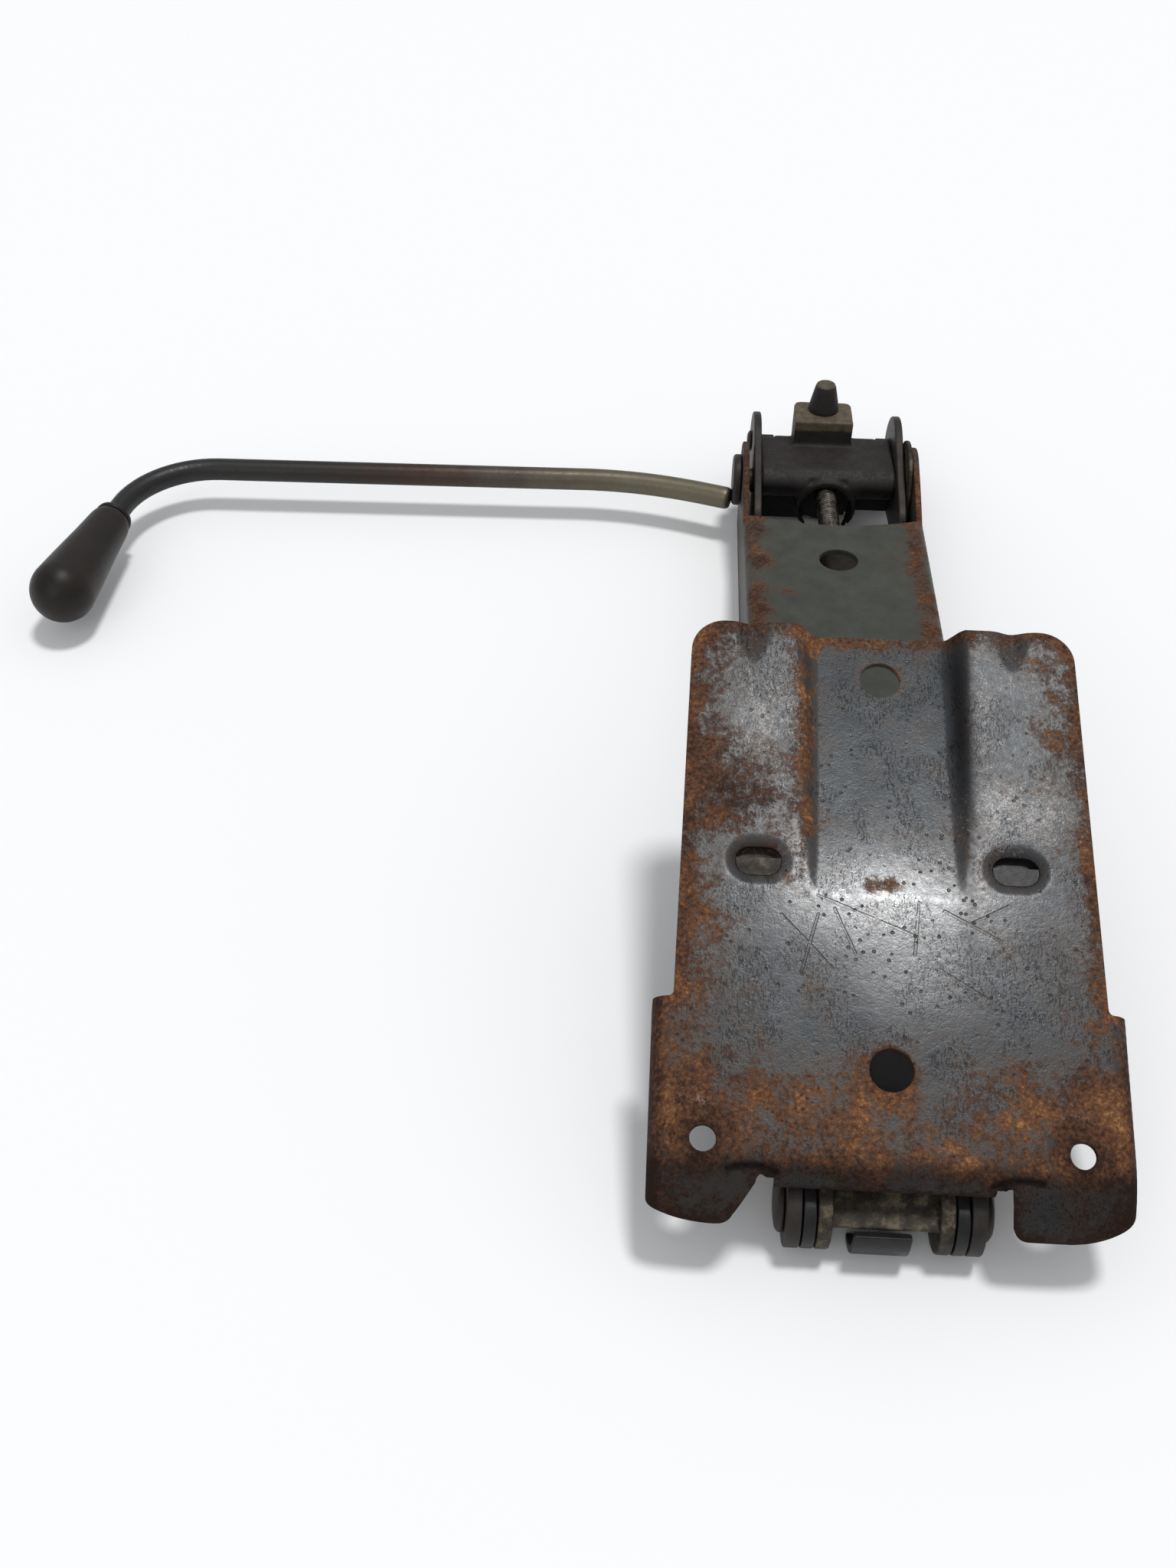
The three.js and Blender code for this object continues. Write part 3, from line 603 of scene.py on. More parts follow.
def plate_finish():
    """Old blue-grey steel: a brown film and speckled rust over it, pale crackle that is partly wear and partly a
    painted highlight, and painted shade where the 'dark' field says.
    """
    f = Finish("worn_plate_steel", 0.4)
    rust, bare, tone, rim, dark = (f.field(n) for n in ("rust", "bare", "tone", "rim", "dark"))
    big, mid, fine = f.noise(34, 6, 0.62), f.noise(9, 6, 0.65), f.noise(2.6, 5, 0.7)
    grain, speck = f.noise(0.9, 3, 0.7), f.noise(1.3, 4, 0.75, warp=1.2)
    edge = f.rise(rim, 8.0, 0.0, 0.0, 0.34)
    patch = f.total((rust, 1.0, 0.0), (edge, 1.0, 0.0), (big, 1.3, 0.5), (mid, 1.2, 0.5), (fine, 1.1, 0.5),
                    (grain, 0.8, 0.5))
    rusty = f.rise(patch, 0.26, 0.70)
    film = f.math("MULTIPLY", f.rise(patch, -0.15, 0.45), 0.7)
    # pale crackle: the 'bare' field is partly real wear and partly a painted highlight where the lamp's reflection
    # lies on the plate
    worn = f.total((bare, 1.0, 0.0), (speck, 2.6, 0.5), (mid, 1.0, 0.5), (grain, 1.2, 0.5))
    pale_wear_and_highlight = f.rise(worn, 0.38, 1.0)
    lines = [f.scratches(turn, width, length, amount) for turn, width, length, amount in
             ((0.12, 0.9, 40, 0.13), (1.05, 0.8, 30, 0.15), (-0.8, 0.8, 26, 0.15), (2.0, 0.7, 20, 0.16))]
    lines += [f.scratch(a, b, 0.7) for a, b in PLATE_SCRATCHES]
    scratch = lines[0]
    for line in lines[1:]:
        scratch = f.math("MAXIMUM", scratch, line)
    pit = f.math("MULTIPLY", f.rise(f.cells(3.4), 0.24, 0.12), f.rise(f.noise(13, 3), 0.47, 0.58))
    paint = f.ramp(f.noise(14, 6, 0.7), (0.3, (0.026, 0.030, 0.034)), (0.7, (0.058, 0.064, 0.070)))
    colour = f.mix(film, paint, (0.062, 0.047, 0.037))
    colour = f.mix(f.math("MULTIPLY", scratch, 0.7), colour, (0.010, 0.009, 0.009))
    colour = f.mix(f.math("MULTIPLY", rusty, 0.9), colour, rust_colour(f, tone))
    colour = f.mix(f.math("MULTIPLY", pale_wear_and_highlight, 0.62), colour, (0.34, 0.315, 0.30))
    colour = f.mix(f.math("MULTIPLY", pit, 0.75), colour, (0.020, 0.011, 0.008))
    # painted shade: 'dark' takes the colour to near black on the recess's right wall, the slot rims, the creases,
    # the rolled lip, the lower skirts and the corner hole rims
    f.set("Base Color", f.mix(f.math("MULTIPLY", dark, 0.88), colour, (0.007, 0.006, 0.0055)))
    shine = f.math("SUBTRACT", 1.0, rusty)
    f.set("Metallic", f.math("MULTIPLY", shine, 0.04))
    rough = f.total((rusty, 0.30, 0.0), (fine, 0.35, 0.5), (film, 0.05, 0.0), (dark, 0.3, 0.0))
    f.set("Roughness", f.math("ADD", rough, 0.24))
    sound = f.rise(f.total((rusty, 1.0, 0.0), (pit, 1.0, 0.0)), 0.7, 0.2)
    gloss = f.math("MULTIPLY", f.field("gloss"), sound)
    plain = f.rise(f.total((rusty, 1.0, 0.0), (dark, 1.0, 0.0)), 0.1, 0.8, 0.11, 0.04)
    f.set("Specular IOR Level", f.math("ADD", plain, f.math("MULTIPLY", gloss, 0.5)))
    height = f.total((rusty, 0.3, 0.0), (fine, 0.8, 0.5), (grain, 0.5, 0.5), (scratch, -0.6, 0.0),
                     (pit, -0.8, 0.0))
    f.relief(height, 0.09)
    return f.material


def painted_finish(name, dark, light, rust_level, roughness=0.5, metallic=0.2, fields=False):
    """Painted or blackened steel with rust that breaks through in patches."""
    f = Finish(name, roughness)
    big, mid, fine, grain = f.noise(26, 5), f.noise(8, 5), f.noise(2.2, 4, 0.7), f.noise(0.8, 3, 0.7)
    terms = [(big, 1.6, 0.5), (mid, 1.0, 0.5), (fine, 0.5, 0.5)]
    if fields:
        terms += [(f.field("rust"), 1.0, 0.0), (f.rise(f.field("rim"), 5.0, 0.0, 0.0, 0.35), 1.0, 0.0)]
    patch = f.math("ADD", f.total(*terms), rust_level)
    rusty = f.math("MULTIPLY", f.rise(patch, 0.28, 0.74), 0.85)
    film = f.math("MULTIPLY", f.rise(patch, 0.05, 0.5), 0.5)
    paint = f.ramp(f.noise(11, 5, 0.65), (0.3, dark), (0.7, light))
    colour = f.mix(film, paint, (0.060, 0.042, 0.030))
    colour = f.mix(rusty, colour, rust_colour(f, 0.35))
    chips = f.rise(f.total((fine, 1.8, 0.5), (grain, 1.4, 0.5)), 0.62, 0.85)
    colour = f.mix(f.math("MULTIPLY", chips, 0.5), colour, (0.26, 0.24, 0.21))
    f.set("Base Color", colour)
    f.set("Metallic", f.math("MULTIPLY", f.math("SUBTRACT", 1.0, rusty), metallic * 0.4))
    f.set("Roughness", f.math("ADD", f.total((rusty, 0.3, 0.0), (fine, 0.22, 0.5)), roughness))
    f.set("Specular IOR Level", f.rise(rusty, 0.0, 1.0, 0.22, 0.08))
    f.relief(f.total((rusty, 0.4, 0.0), (fine, 0.7, 0.5), (grain, 0.5, 0.5)), 0.1)
    return f.material


def brassy_finish():
    """Steel with old yellow plating, worn to grey and brown."""
    f = Finish("old_yellow_plating", 0.5)
    mid, fine, grain = f.noise(6, 5), f.noise(1.8, 4, 0.7), f.noise(0.7, 3, 0.7)
    worn = f.math("ADD", f.total((mid, 1.8, 0.5), (fine, 1.0, 0.5)), 0.5, clamp=True)
    colour = f.ramp(worn, (0.25, (0.011, 0.009, 0.007)), (0.52, (0.034, 0.027, 0.018)),
                    (0.85, (0.12, 0.10, 0.065)))
    f.set("Base Color", colour)
    f.set("Metallic", f.rise(worn, 0.3, 0.8, 0.05, 0.25))
    f.set("Specular IOR Level", 0.2)
    f.set("Roughness", f.rise(fine, 0.3, 0.7, 0.42, 0.68))
    f.relief(f.total((fine, 0.8, 0.5), (grain, 0.6, 0.5)), 0.12)
    return f.material


def cast_finish():
    """Dark brown casting: tan on its upper faces where 'light' says, which is painted light, and near black where
    'deep' says, which is painted shade.
    """
    f = Finish("dark_casting", 0.62)
    mottle, grain = f.noise(4, 5, 0.7), f.noise(1.6, 4, 0.7)
    # 'light' is painted light on the upper faces; 'deep' below is painted shade
    light = f.total((f.field("light"), 1.0, 0.0), (mottle, 0.9, 0.5))
    brown = f.ramp(f.noise(7, 5, 0.7), (0.3, (0.012, 0.010, 0.009)), (0.75, (0.027, 0.022, 0.020)))
    tan = f.ramp(mottle, (0.3, (0.050, 0.038, 0.024)), (0.7, (0.125, 0.098, 0.062)))
    colour = f.mix(f.rise(light, 0.25, 0.8), brown, tan)
    f.set("Base Color", f.mix(f.field("deep"), colour, (0.0045, 0.004, 0.0035)))
    f.set("Roughness", f.rise(grain, 0.3, 0.7, 0.52, 0.74))
    f.set("Specular IOR Level", 0.25)
    f.relief(f.total((grain, 1.0, 0.5), (f.noise(0.6, 2), 0.5, 0.5)), 0.16)
    return f.material


def bar_finish():
    """Lever bar: grey plating near the hub, brown in the middle, dark oxide by the knob."""
    f = Finish("aged_bar_plating", 0.4)
    mid, fine = f.noise(14, 5, 0.65), f.noise(1.8, 4, 0.7)
    along = f.math("ADD", f.coordinate("X"), f.math("MULTIPLY", f.math("SUBTRACT", mid, 0.5), 0.09))
    level = f.rise(along, -0.36, -0.05)
    base = f.ramp(level, (0.0, (0.013, 0.013, 0.012)), (0.28, (0.017, 0.012, 0.009)),
                  (0.48, (0.040, 0.018, 0.011)), (0.66, (0.062, 0.050, 0.038)), (1.0, (0.135, 0.118, 0.078)))
    spots = f.rise(f.total((mid, 1.4, 0.5), (fine, 1.0, 0.5)), 0.36, 0.6)
    base = f.mix(f.math("MULTIPLY", spots, 0.55), base, (0.10, 0.036, 0.016))
    glints = f.rise(f.total((fine, 1.6, 0.5), (f.noise(0.6, 2), 1.3, 0.5)), 0.5, 0.8)
    f.set("Base Color", f.mix(f.math("MULTIPLY", glints, 0.45), base, (0.33, 0.30, 0.25)))
    f.set("Metallic", f.rise(level, 0.0, 1.0, 0.35, 0.6))
    f.set("Roughness", f.rise(fine, 0.3, 0.7, 0.34, 0.55))
    f.relief(fine, 0.08)
    return f.material


def screw_finish():
    """Oily bare steel thread with patches of dirt."""
    f = Finish("oily_thread_steel", 0.25, 0.85)
    dirt = f.noise(3, 4, 0.7)
    f.set("Base Color", f.ramp(dirt, (0.35, (0.030, 0.024, 0.018)), (0.7, (0.16, 0.14, 0.115))))
    f.set("Roughness", f.rise(dirt, 0.3, 0.7, 0.18, 0.4))
    return f.material


def knob_finish():
    """Near-black moulded knob with a worn satin skin and a faint brown cast."""
    f = Finish("satin_black_knob", 0.42, Specular_IOR_Level=0.22)
    broad, fine = f.noise(16, 4), f.noise(1.2, 3)
    f.set("Base Color", f.ramp(broad, (0.3, (0.010, 0.008, 0.0065)), (0.7, (0.017, 0.0125, 0.010))))
    f.set("Roughness", f.rise(f.total((broad, 1.0, 0.5), (fine, 0.6, 0.5)), -0.4, 0.5, 0.36, 0.56))
    f.relief(f.total((fine, 0.6, 0.5), (f.noise(5, 2), 0.8, 0.5)), 0.06)
    return f.material


PLATE_STEEL = plate_finish()
ARM_PAINT = painted_finish("green_grey_arm_paint", (0.034, 0.038, 0.031), (0.058, 0.060, 0.050),
                           rust_level=0.12, roughness=0.52, metallic=0.15, fields=True)
DARK_STEEL = painted_finish("dark_rusty_steel", (0.014, 0.0115, 0.010), (0.034, 0.028, 0.024),
                            rust_level=0.02, metallic=0.3)
BLACK_STEEL = painted_finish("black_painted_steel", (0.006, 0.006, 0.0065), (0.016, 0.016, 0.016),
                             rust_level=-0.1, roughness=0.4, metallic=0.1)
BRASSY = brassy_finish()
CASTING = cast_finish()
BAR = bar_finish()
THREAD = screw_finish()
KNOB = knob_finish()


# ---- mounting plate -----------------------------------------------------------------
def rolled(v, start, radius, last):
    """Flat until 'start', then round a bend of that radius to the angle 'last', then straight on."""
    turn = np.clip((start - v) / radius, 0, last)
    beyond = np.maximum(start - v - radius * last, 0)
    y = np.maximum(v, start) - radius * np.sin(turn) - beyond * math.cos(last)
    return y, -radius * (1 - np.cos(turn)) - beyond * math.sin(last)


def near_limits(u):
    """End of the lip and far side of the notch on the side that each u lies on."""
    lip = np.where(u < 0, NEAR_EDGE[-1]["lip"], NEAR_EDGE[1]["lip"])
    notch = np.where(u < 0, NEAR_EDGE[-1]["notch"], NEAR_EDGE[1]["notch"])
    return lip, notch


CRESCENTS = [np.array([(-55.5, -190.6), (-51.0, -189.4), (-46.5, -189.0), (-42.5, -189.8), (-39.5, -191.4)]),
             np.array([(34.0, -192.6), (38.0, -190.9), (42.0, -190.2), (46.0, -190.2), (50.0, -190.9)])]


def pressing(x, y):
    """Height of the pressed detail on the flat plate: the channel that deepens towards the far
    edge, a groove at the far edge of each wing, dished rings round the corner holes, rims that
    dip into the slots, creases over the notches, and the slight waviness of old sheet."""
    along = np.clip((y - RECESS_END) / (PLATE_FAR - RECESS_END), 0, 1)
    floor = RECESS_FLOOR + 1.0 - along
    across = 1 - smooth((np.abs(x) - floor) / (1.6 + (RECESS_ROOT - RECESS_FLOOR - 1.6) * along**0.6))
    z = -RECESS_DEPTH * along * across
    groove = np.clip(y / GROOVE_LENGTH, 0, 1)
    width = 1.4 + 3.4 * groove
    z -= GROOVE_DEPTH * smooth(groove * 1.3) * np.exp(-((np.abs(x) - GROOVE_X) / width) ** 2)
    for side in (-1, 1):
        r = np.hypot(x - side * CORNER_HOLE[0], y - CORNER_HOLE[1])
        z += -CORNER_DISH * (1 - smooth((r - 8.2) / 3.6)) + 0.5 * np.exp(-(((r - 13.2) / 1.4) ** 2))
        far = np.maximum(np.abs(x - side * SLOT_X) - SLOT_HALF, 0)
        z -= SLOT_DISH * (1 - smooth((np.hypot(far, y - SLOT_Y) - SLOT_R) / 4.0))
    for line in CRESCENTS:
        d = nearest(np.column_stack([x, y]), spread_open(line, 0.5))
        z -= CREASE_DEPTH * np.exp(-(d**2))
    z += WAVINESS * np.sin(x / 9.0 + 1.3) * np.sin(y / 13.0)
    return z


def plate_shape(flat):
    """Blank (u across, v along) to the pressed plate: the skirts turn down through a quarter
    circle at each side, the lip rolls down tightly and the ears on a large radius."""
    u, v = flat.T
    inner = SKIRT_HALF - SKIRT_BEND
    turn = np.clip((np.abs(u) - inner) / SKIRT_BEND, 0, math.pi / 2)
    drop = np.maximum(np.abs(u) - inner - SKIRT_BEND * math.pi / 2, 0)
    x = np.sign(u) * (np.minimum(np.abs(u), inner) + SKIRT_BEND * np.sin(turn))
    lip_y, lip_z = rolled(v, LIP + LIP_BEND, LIP_BEND, math.pi / 2)
    ear_y, ear_z = rolled(v, ROLL_START, ROLL_RADIUS, 1.2)
    lip, notch = near_limits(u)
    share = smooth((np.abs(u) - lip + 1) / (notch - lip + 2))
    y = lip_y + share * (ear_y - lip_y)
    z = lip_z + share * (ear_z - lip_z) + pressing(u, v)
    return np.column_stack([x, y, z + SKIRT_BEND * (np.cos(turn) - 1) - drop])


def half_plate(side):
    """Half of the plate's blank, from the middle of the lip to the middle of the far edge."""
    e = NEAR_EDGE[side]
    lip_v = LIP + LIP_BEND - LIP_BEND * math.pi / 2 - LIP_DROP
    tip_v = ROLL_START - ROLL_RADIUS * math.asin((ROLL_START - e["tip"]) / ROLL_RADIUS)
    relief = (e["notch"] - e["lip"]) / 2
    full = SKIRT_HALF - SKIRT_BEND + SKIRT_BEND * math.pi / 2 + SKIRT_DROP
    half = np.concatenate([
        [[0, lip_v]], bezier([e["lip"] - 2.5, lip_v], [e["lip"], lip_v], [e["lip"], lip_v + 2.5], 4),
        arc(e["lip"] + relief, LIP - 0.6, relief, 180, 0, 10),
        bezier([e["ear"] - 1.2, tip_v + 4], [e["ear"] + 0.4, tip_v], [e["ear"] + 4.5, tip_v], 5),
        bezier([61.0, tip_v], [full - 9.5 - 1.5 * side, tip_v + 1.5], [full - 0.5, -179.5 + 4.5 * side], 18),
        [[full, -172.0]], bezier([full, SKIRT_FAR - 1.5], [full, SKIRT_FAR], [full - 1.5, SKIRT_FAR], 4),
        bezier([WING_NEAR + 2, SKIRT_FAR], [WING_NEAR, SKIRT_FAR], [WING_NEAR, SKIRT_FAR + 2.5], 5),
        arc(WING_FAR - WING_CORNER, PLATE_FAR - WING_CORNER, WING_CORNER, 0, 90, 12),
        [[0, PLATE_FAR]],
    ])
    return half * [side, 1]


def blob(x, y, at, size):
    """Soft patch: one in its middle, fading over its half widths."""
    return np.exp(-(((x - at[0]) / size[0]) ** 2) - ((y - at[1]) / size[1]) ** 2)


def plate_fields(flat):
    """Where the plate is rusty, where it is pale from wear and with a painted highlight, where painted shade
    ('dark') darkens it, and where its rust is dark or orange.
    """
    x, y = flat.T
    a = np.abs(x)
    centre = np.minimum(np.hypot(x, y), np.hypot(x, y - NEAR_HOLE_Y))
    corner = np.hypot(a - CORNER_HOLE[0], y - CORNER_HOLE[1])
    slot = np.hypot(np.maximum(np.abs(a - SLOT_X) - SLOT_HALF, 0), y - SLOT_Y) - SLOT_R
    skirt = smooth((a - 77) / 5)
    rust = 0.06 + 0.45 * np.exp(-(centre - CENTRE_HOLE_R) / 3.0)
    rust += 0.45 * np.exp(-(corner - CORNER_HOLE_R) / 6)
    rust += 0.42 * smooth((-138 - y) / 30) - 0.16 * smooth((-189 - y) / 6) + 0.32 * skirt
    rust += 0.24 * smooth((a - 52) / 20) + 0.22 * blob(a, y, (32, -30), (6, 70))
    rust += 0.34 * blob(x, y, (-56, -54), (24, 18)) + 0.22 * blob(x, y, (-66, -5), (14, 34))
    rust += 0.32 * blob(x, y, (-29, -30), (5, 75)) + 0.22 * blob(a, y, (50, 15), (16, 12))
    rust += 0.20 * blob(x, y, (-62, -120), (16, 45)) + 0.10 * blob(x, y, (60, -125), (18, 40))
    rust += 0.80 * (blob(x, y, (-6.3, -87), (3.6, 3.6)) + blob(x, y, (0.6, -86.5), (3.4, 4)))
    rust += 0.45 * blob(x, y, (-2, -67.5), (7.5, 2.4)) + 0.35 * blob(x, y, (0, 16), (28, 4))
    rust += 0.20 * blob(x, y, (-16, -63), (8, 3)) + 0.3 * np.exp(-np.maximum(slot, 0) / 2.5)
    rust -= 0.24 * blob(x, y, (2, -45), (22, 48)) + 0.30 * blob(x, y, (4, -108), (36, 24))
    rust -= 0.12 * blob(x, y, (-48, -20), (12, 20)) + 0.08 * blob(x, y, (40, -20), (14, 26))
    # 'bare' patches: partly wear, partly a painted highlight where the lamp's reflection falls on the recess end
    # and the wings
    bare = 0.02 + 0.42 * blob(x, y, (0, -93), (30, 16)) + 0.55 * blob(x, y, (-47, -24), (13, 26))
    bare += 0.66 * blob(x, y, (51, -57), (24, 15)) + 0.42 * blob(x, y, (37, -15), (6, 34))
    bare += 0.30 * blob(x, y, (-34, -15), (4, 40)) + 0.32 * blob(x, y, (-36, -82), (6, 12))
    bare += 0.26 * blob(x, y, (50, 4), (7, 12)) + 0.30 * blob(a, y, (64, -168), (9, 4))
    bare -= 0.2 * smooth((-186 - y) / 5)
    tone = 0.30 + 0.75 * blob(x, y, (-54, -54), (22, 16)) - 0.5 * blob(x, y, (-29, -30), (5, 80))
    tone += 0.8 * smooth((-186 - y) / 7) - 0.30 * blob(x, y, (0, -172), (60, 10)) + 0.6 * skirt
    tone += 0.5 * np.exp(-(corner - CORNER_HOLE_R) / 4) - 0.4 * blob(a, y, (77, -145), (3, 40))
    # 'dark' is painted shade: the recess's right wall, the slot rims, the rolled lip, the lower skirts, the corner
    # hole rims and the creases
    dark = 0.92 * blob(x, y, (29.3, -20), (3.6, 62)) + 0.8 * np.exp(-((slot / 1.8) ** 2))
    dark += 0.62 * smooth((-183 - y) / 7) + 0.45 * smooth((a - 83) / 4)
    dark += 0.4 * np.exp(-((corner - CORNER_HOLE_R) / 2.5) ** 2)
    for line in CRESCENTS:
        dark += 0.9 * np.exp(-((nearest(flat, spread_open(line, 0.5)) / 1.1) ** 2))
    gloss = blob(x, y, (0, -93), (36, 17)) + 0.35 * blob(x, y, (12, -122), (26, 14))
    gloss += 0.3 * blob(a, y, (32, -80), (5, 16))
    return {"rust": rust, "bare": bare, "tone": tone, "dark": np.clip(dark, 0, 1), "gloss": gloss}


def mount_plate():
    """Plate with its six holes, its points closer together where the pressing is small."""
    loop = np.concatenate([half_plate(1), half_plate(-1)[::-1][1:-1]])
    holes = [arc(0, y, CENTRE_HOLE_R, 0, 360, 40)[:-1] for y in (0, NEAR_HOLE_Y)]
    fine = []
    for side in (-1, 1):
        x, y = side * CORNER_HOLE[0], CORNER_HOLE[1]
        slot_x, groove_x = side * SLOT_X, side * GROOVE_X
        holes.append(arc(x, y, CORNER_HOLE_R, 0, 360, 32)[:-1])
        holes.append(slot_loop(slot_x, SLOT_Y, SLOT_HALF, SLOT_R))
        fine.append(((x - 15, y - 12), (x + 15, y + 15), 1.1))
        fine.append(((slot_x - 13, SLOT_Y - 10), (slot_x + 13, SLOT_Y + 10), 1.1))
        fine.append(((groove_x - 8, -2.0), (groove_x + 8, PLATE_FAR), 1.1))
    fine.append(((-58, -193.5), (-37, -186.5), 0.8))
    fine.append(((32, -194.5), (52, -187.5), 0.8))
    sheet("mount_plate_pressing", loop, holes, plate_shape, PLATE.place, SHEET, "plate",
          PLATE_STEEL, ("mount_plate",), step=1.9, edge=0.55, fine=fine, fields=plate_fields)


mount_plate()


# ---- near hinge ---------------------------------------------------------------------
def leaf_outline():
    """Hinge leaf in (Y, Z): it hangs under the plate and ends round the pin."""
    top = -SHEET - GAP
    front = LIP + SHEET + GAP
    rise = math.degrees(math.acos((front - PIN_PLATE[0]) / KNUCKLE_R))
    return np.concatenate([
        [[LEAF_BACK, -12], [LEAF_BACK, top]][::-1], [[LEAF_BACK, -12]],
        arc(*PIN_PLATE, KNUCKLE_R, 320, rise, 36), [[front, top - 3.2], [ROLL_START, top]],
    ])[1:]


def pin_hole(centre, radius):
    """Outline of a round hole."""
    return arc(*centre, radius, 0, 360, 32)[:-1]


def hinge_leaves():
    """Two outer leaves and the two cheeks of the inner bracket, all cut to one outline."""
    hole = [pin_hole(PIN_PLATE, PIN_R + GAP)]
    for name, side in (("left", -1), ("right", 1)):
        near, far = sorted((side * LAYER["leaf"][0], side * LAYER["leaf"][1]))
        side_plate(f"hinge_leaf_{name}_plate", leaf_outline(), hole, near, far, PLATE.place, "plate",
                   DARK_STEEL, (f"hinge_leaf_{name}",))
    cheeks = []
    for side in (-1, 1):
        near, far = sorted((side * LAYER["bracket"][0], side * LAYER["bracket"][1]))
        cheeks.append(side_plate("bracket_cheek", leaf_outline(), hole, near, far, PLATE.place, "plate",
                                 BRASSY, edge=0.8))
    y, z = PIN_PLATE
    reach = LAYER["bracket"][0] + 0.4
    web = np.array([[-reach, y - 9.5], [reach, y - 9.5], [reach, y + 12], [-reach, y + 12]])
    level = lambda flat: np.column_stack([flat, z + 10 - 0.05 * ((flat[:, 1] - y) / 6) ** 2])
    cheeks.append(sheet("bracket_web", web, [], level, PLATE.place, 3.0, "plate", BRASSY,
                        edge=0.7))
    join("inner_bracket_pressing", cheeks, ("inner_bracket",))


def stop_tab():
    """Strip bent round in front of the pin, its outer face 16.5 from the pin's axis."""
    first, last, radius = math.radians(140), math.radians(235), 16.5
    length = (last - first) * radius
    strip = np.array([[-11, 0], [9, 0], [9, length], [-11, length]])

    def bent(flat):
        a = last - flat[:, 1] / radius
        round_pin = np.column_stack([np.cos(a), np.sin(a)])
        return np.column_stack([flat[:, 0], PIN_PLATE + radius * round_pin])

    sheet("stop_tab_strip", strip, [], bent, PLATE.place, 3.0, "plate", BLACK_STEEL,
          ("stop_tab",), step=2.0, edge=0.6)


def yoke():
    """Arm's part of the hinge: two long side plates joined under the arm's web."""
    top = -ARM_SHEET - GAP
    y, z = PIN_ARM
    knuckle = arc(y, z, KNUCKLE_R, 135, 272, 24)
    outline = np.concatenate([
        [[YOKE_BACK, top], [-96, top]], arc(-96, top - 9, 9, 92, 128, 5), knuckle,
        [[-70, rest_line(-70) + 1], [YOKE_BACK, -32]],
    ])[::-1]
    hole = [pin_hole(PIN_ARM, PIN_R + GAP)]
    sides = []
    for side in (-1, 1):
        near, far = sorted((side * LAYER["yoke"][0], side * LAYER["yoke"][1]))
        sides.append(side_plate("yoke_side", outline[::-1], hole, near, far, ARM.place, "arm",
                                BLACK_STEEL))
    reach = LAYER["yoke"][0] + 0.4
    web = np.array([[-reach, ARM_NEAR], [reach, ARM_NEAR], [reach, YOKE_BACK], [-reach, YOKE_BACK]])
    level = lambda flat: np.column_stack([flat, np.full(len(flat), top)])
    sides.append(sheet("yoke_web", web, [], level, ARM.place, 3.5, "arm", BLACK_STEEL))
    join("hinge_yoke_plates", sides, ("hinge_yoke",))


def pins():
    """Hinge pin with its peened head, the collar on its other end and the far shaft's right half."""
    head, end = LAYER["heads"]
    centre = [0, *PIN_ARM]
    profile = [[AXIS_POINT, -end], [6.5, -end], [9.2, -end + 0.5], [10.5, -end + 1.6], [10.5, -head],
               [PIN_R, -head], [PIN_R, end - 0.7], [AXIS_POINT, end - 0.7]]
    turned("hinge_pin_turned", soften(profile, 0.5), ARM.place, centre, (1, 0, 0), "arm",
           DARK_STEEL, ("hinge_pin",))
    hole = PIN_R + GAP
    collar = [[hole, head], [10.5, head], [10.5, end - 1.2], [9.0, end], [hole, end]]
    turned("pin_collar_ring", collar, ARM.place, centre, (1, 0, 0), "arm", DARK_STEEL,
           ("pin_collar",), ring=True)
    stub = [[AXIS_POINT, STUB_IN], [SHAFT_R, STUB_IN], [SHAFT_R, ARM_HALF], [AXIS_POINT, ARM_HALF]]
    turned("pivot_stub_turned", soften(stub, 0.8), ARM.place, [0, *SHAFT], (1, 0, 0), "arm",
           DARK_STEEL, ("pivot_stub",))


def slot_lugs():
    """Lugs seen through the slots: tan on the left, black on the right."""
    for side, finish in (("left", BRASSY), ("right", BLACK_STEEL)):
        lug = merged_copy(f"slot_lug_{side}_block", f"slot_lug_{side}", "plate", finish)
        round_edges(lug, 0.5)


def under_plate():
    """Near-black plate that closes the underside of the arm's channel; it is a dark sheet put in as painted shade
    for the inside of the channel seen through the top hole.
    """
    # painted shade: a near-black sheet that hides the floor seen through the arm's top hole
    under = merged_copy("arm_under_shade_plate", "arm_under_plate", "arm", DARK_STEEL)
    round_edges(under, 0.6)


hinge_leaves()
stop_tab()
yoke()
pins()
slot_lugs()
under_plate()


# ---- arm ----------------------------------------------------------------------------
SHOULDER = ARM_HALF - ARM_BEND
BEND_END = SHOULDER + ARM_BEND * math.pi / 2


def arm_shape(flat):
    """Blank to channel: flat web, quarter-circle shoulders, upright flanges. Beyond the web's
    far edge only the ears are left, and they stand upright over their whole height."""
    u, v = flat.T
    a = np.abs(u)
    turn = np.clip((a - SHOULDER) / ARM_BEND, 0, math.pi / 2)
    x = np.minimum(a, SHOULDER) + ARM_BEND * np.sin(turn)
    z = ARM_BEND * (np.cos(turn) - 1) - np.maximum(a - BEND_END, 0)
    ear = v > ARM_FAR + 0.01
    x = np.where(ear, ARM_HALF, x)
    z = np.where(ear, BEND_END - ARM_BEND - a, z)
    return np.column_stack([np.sign(u) * x, v, z])


def blank_u(z):
    """Blank coordinate of a height on the flange."""
    return BEND_END - ARM_BEND - z


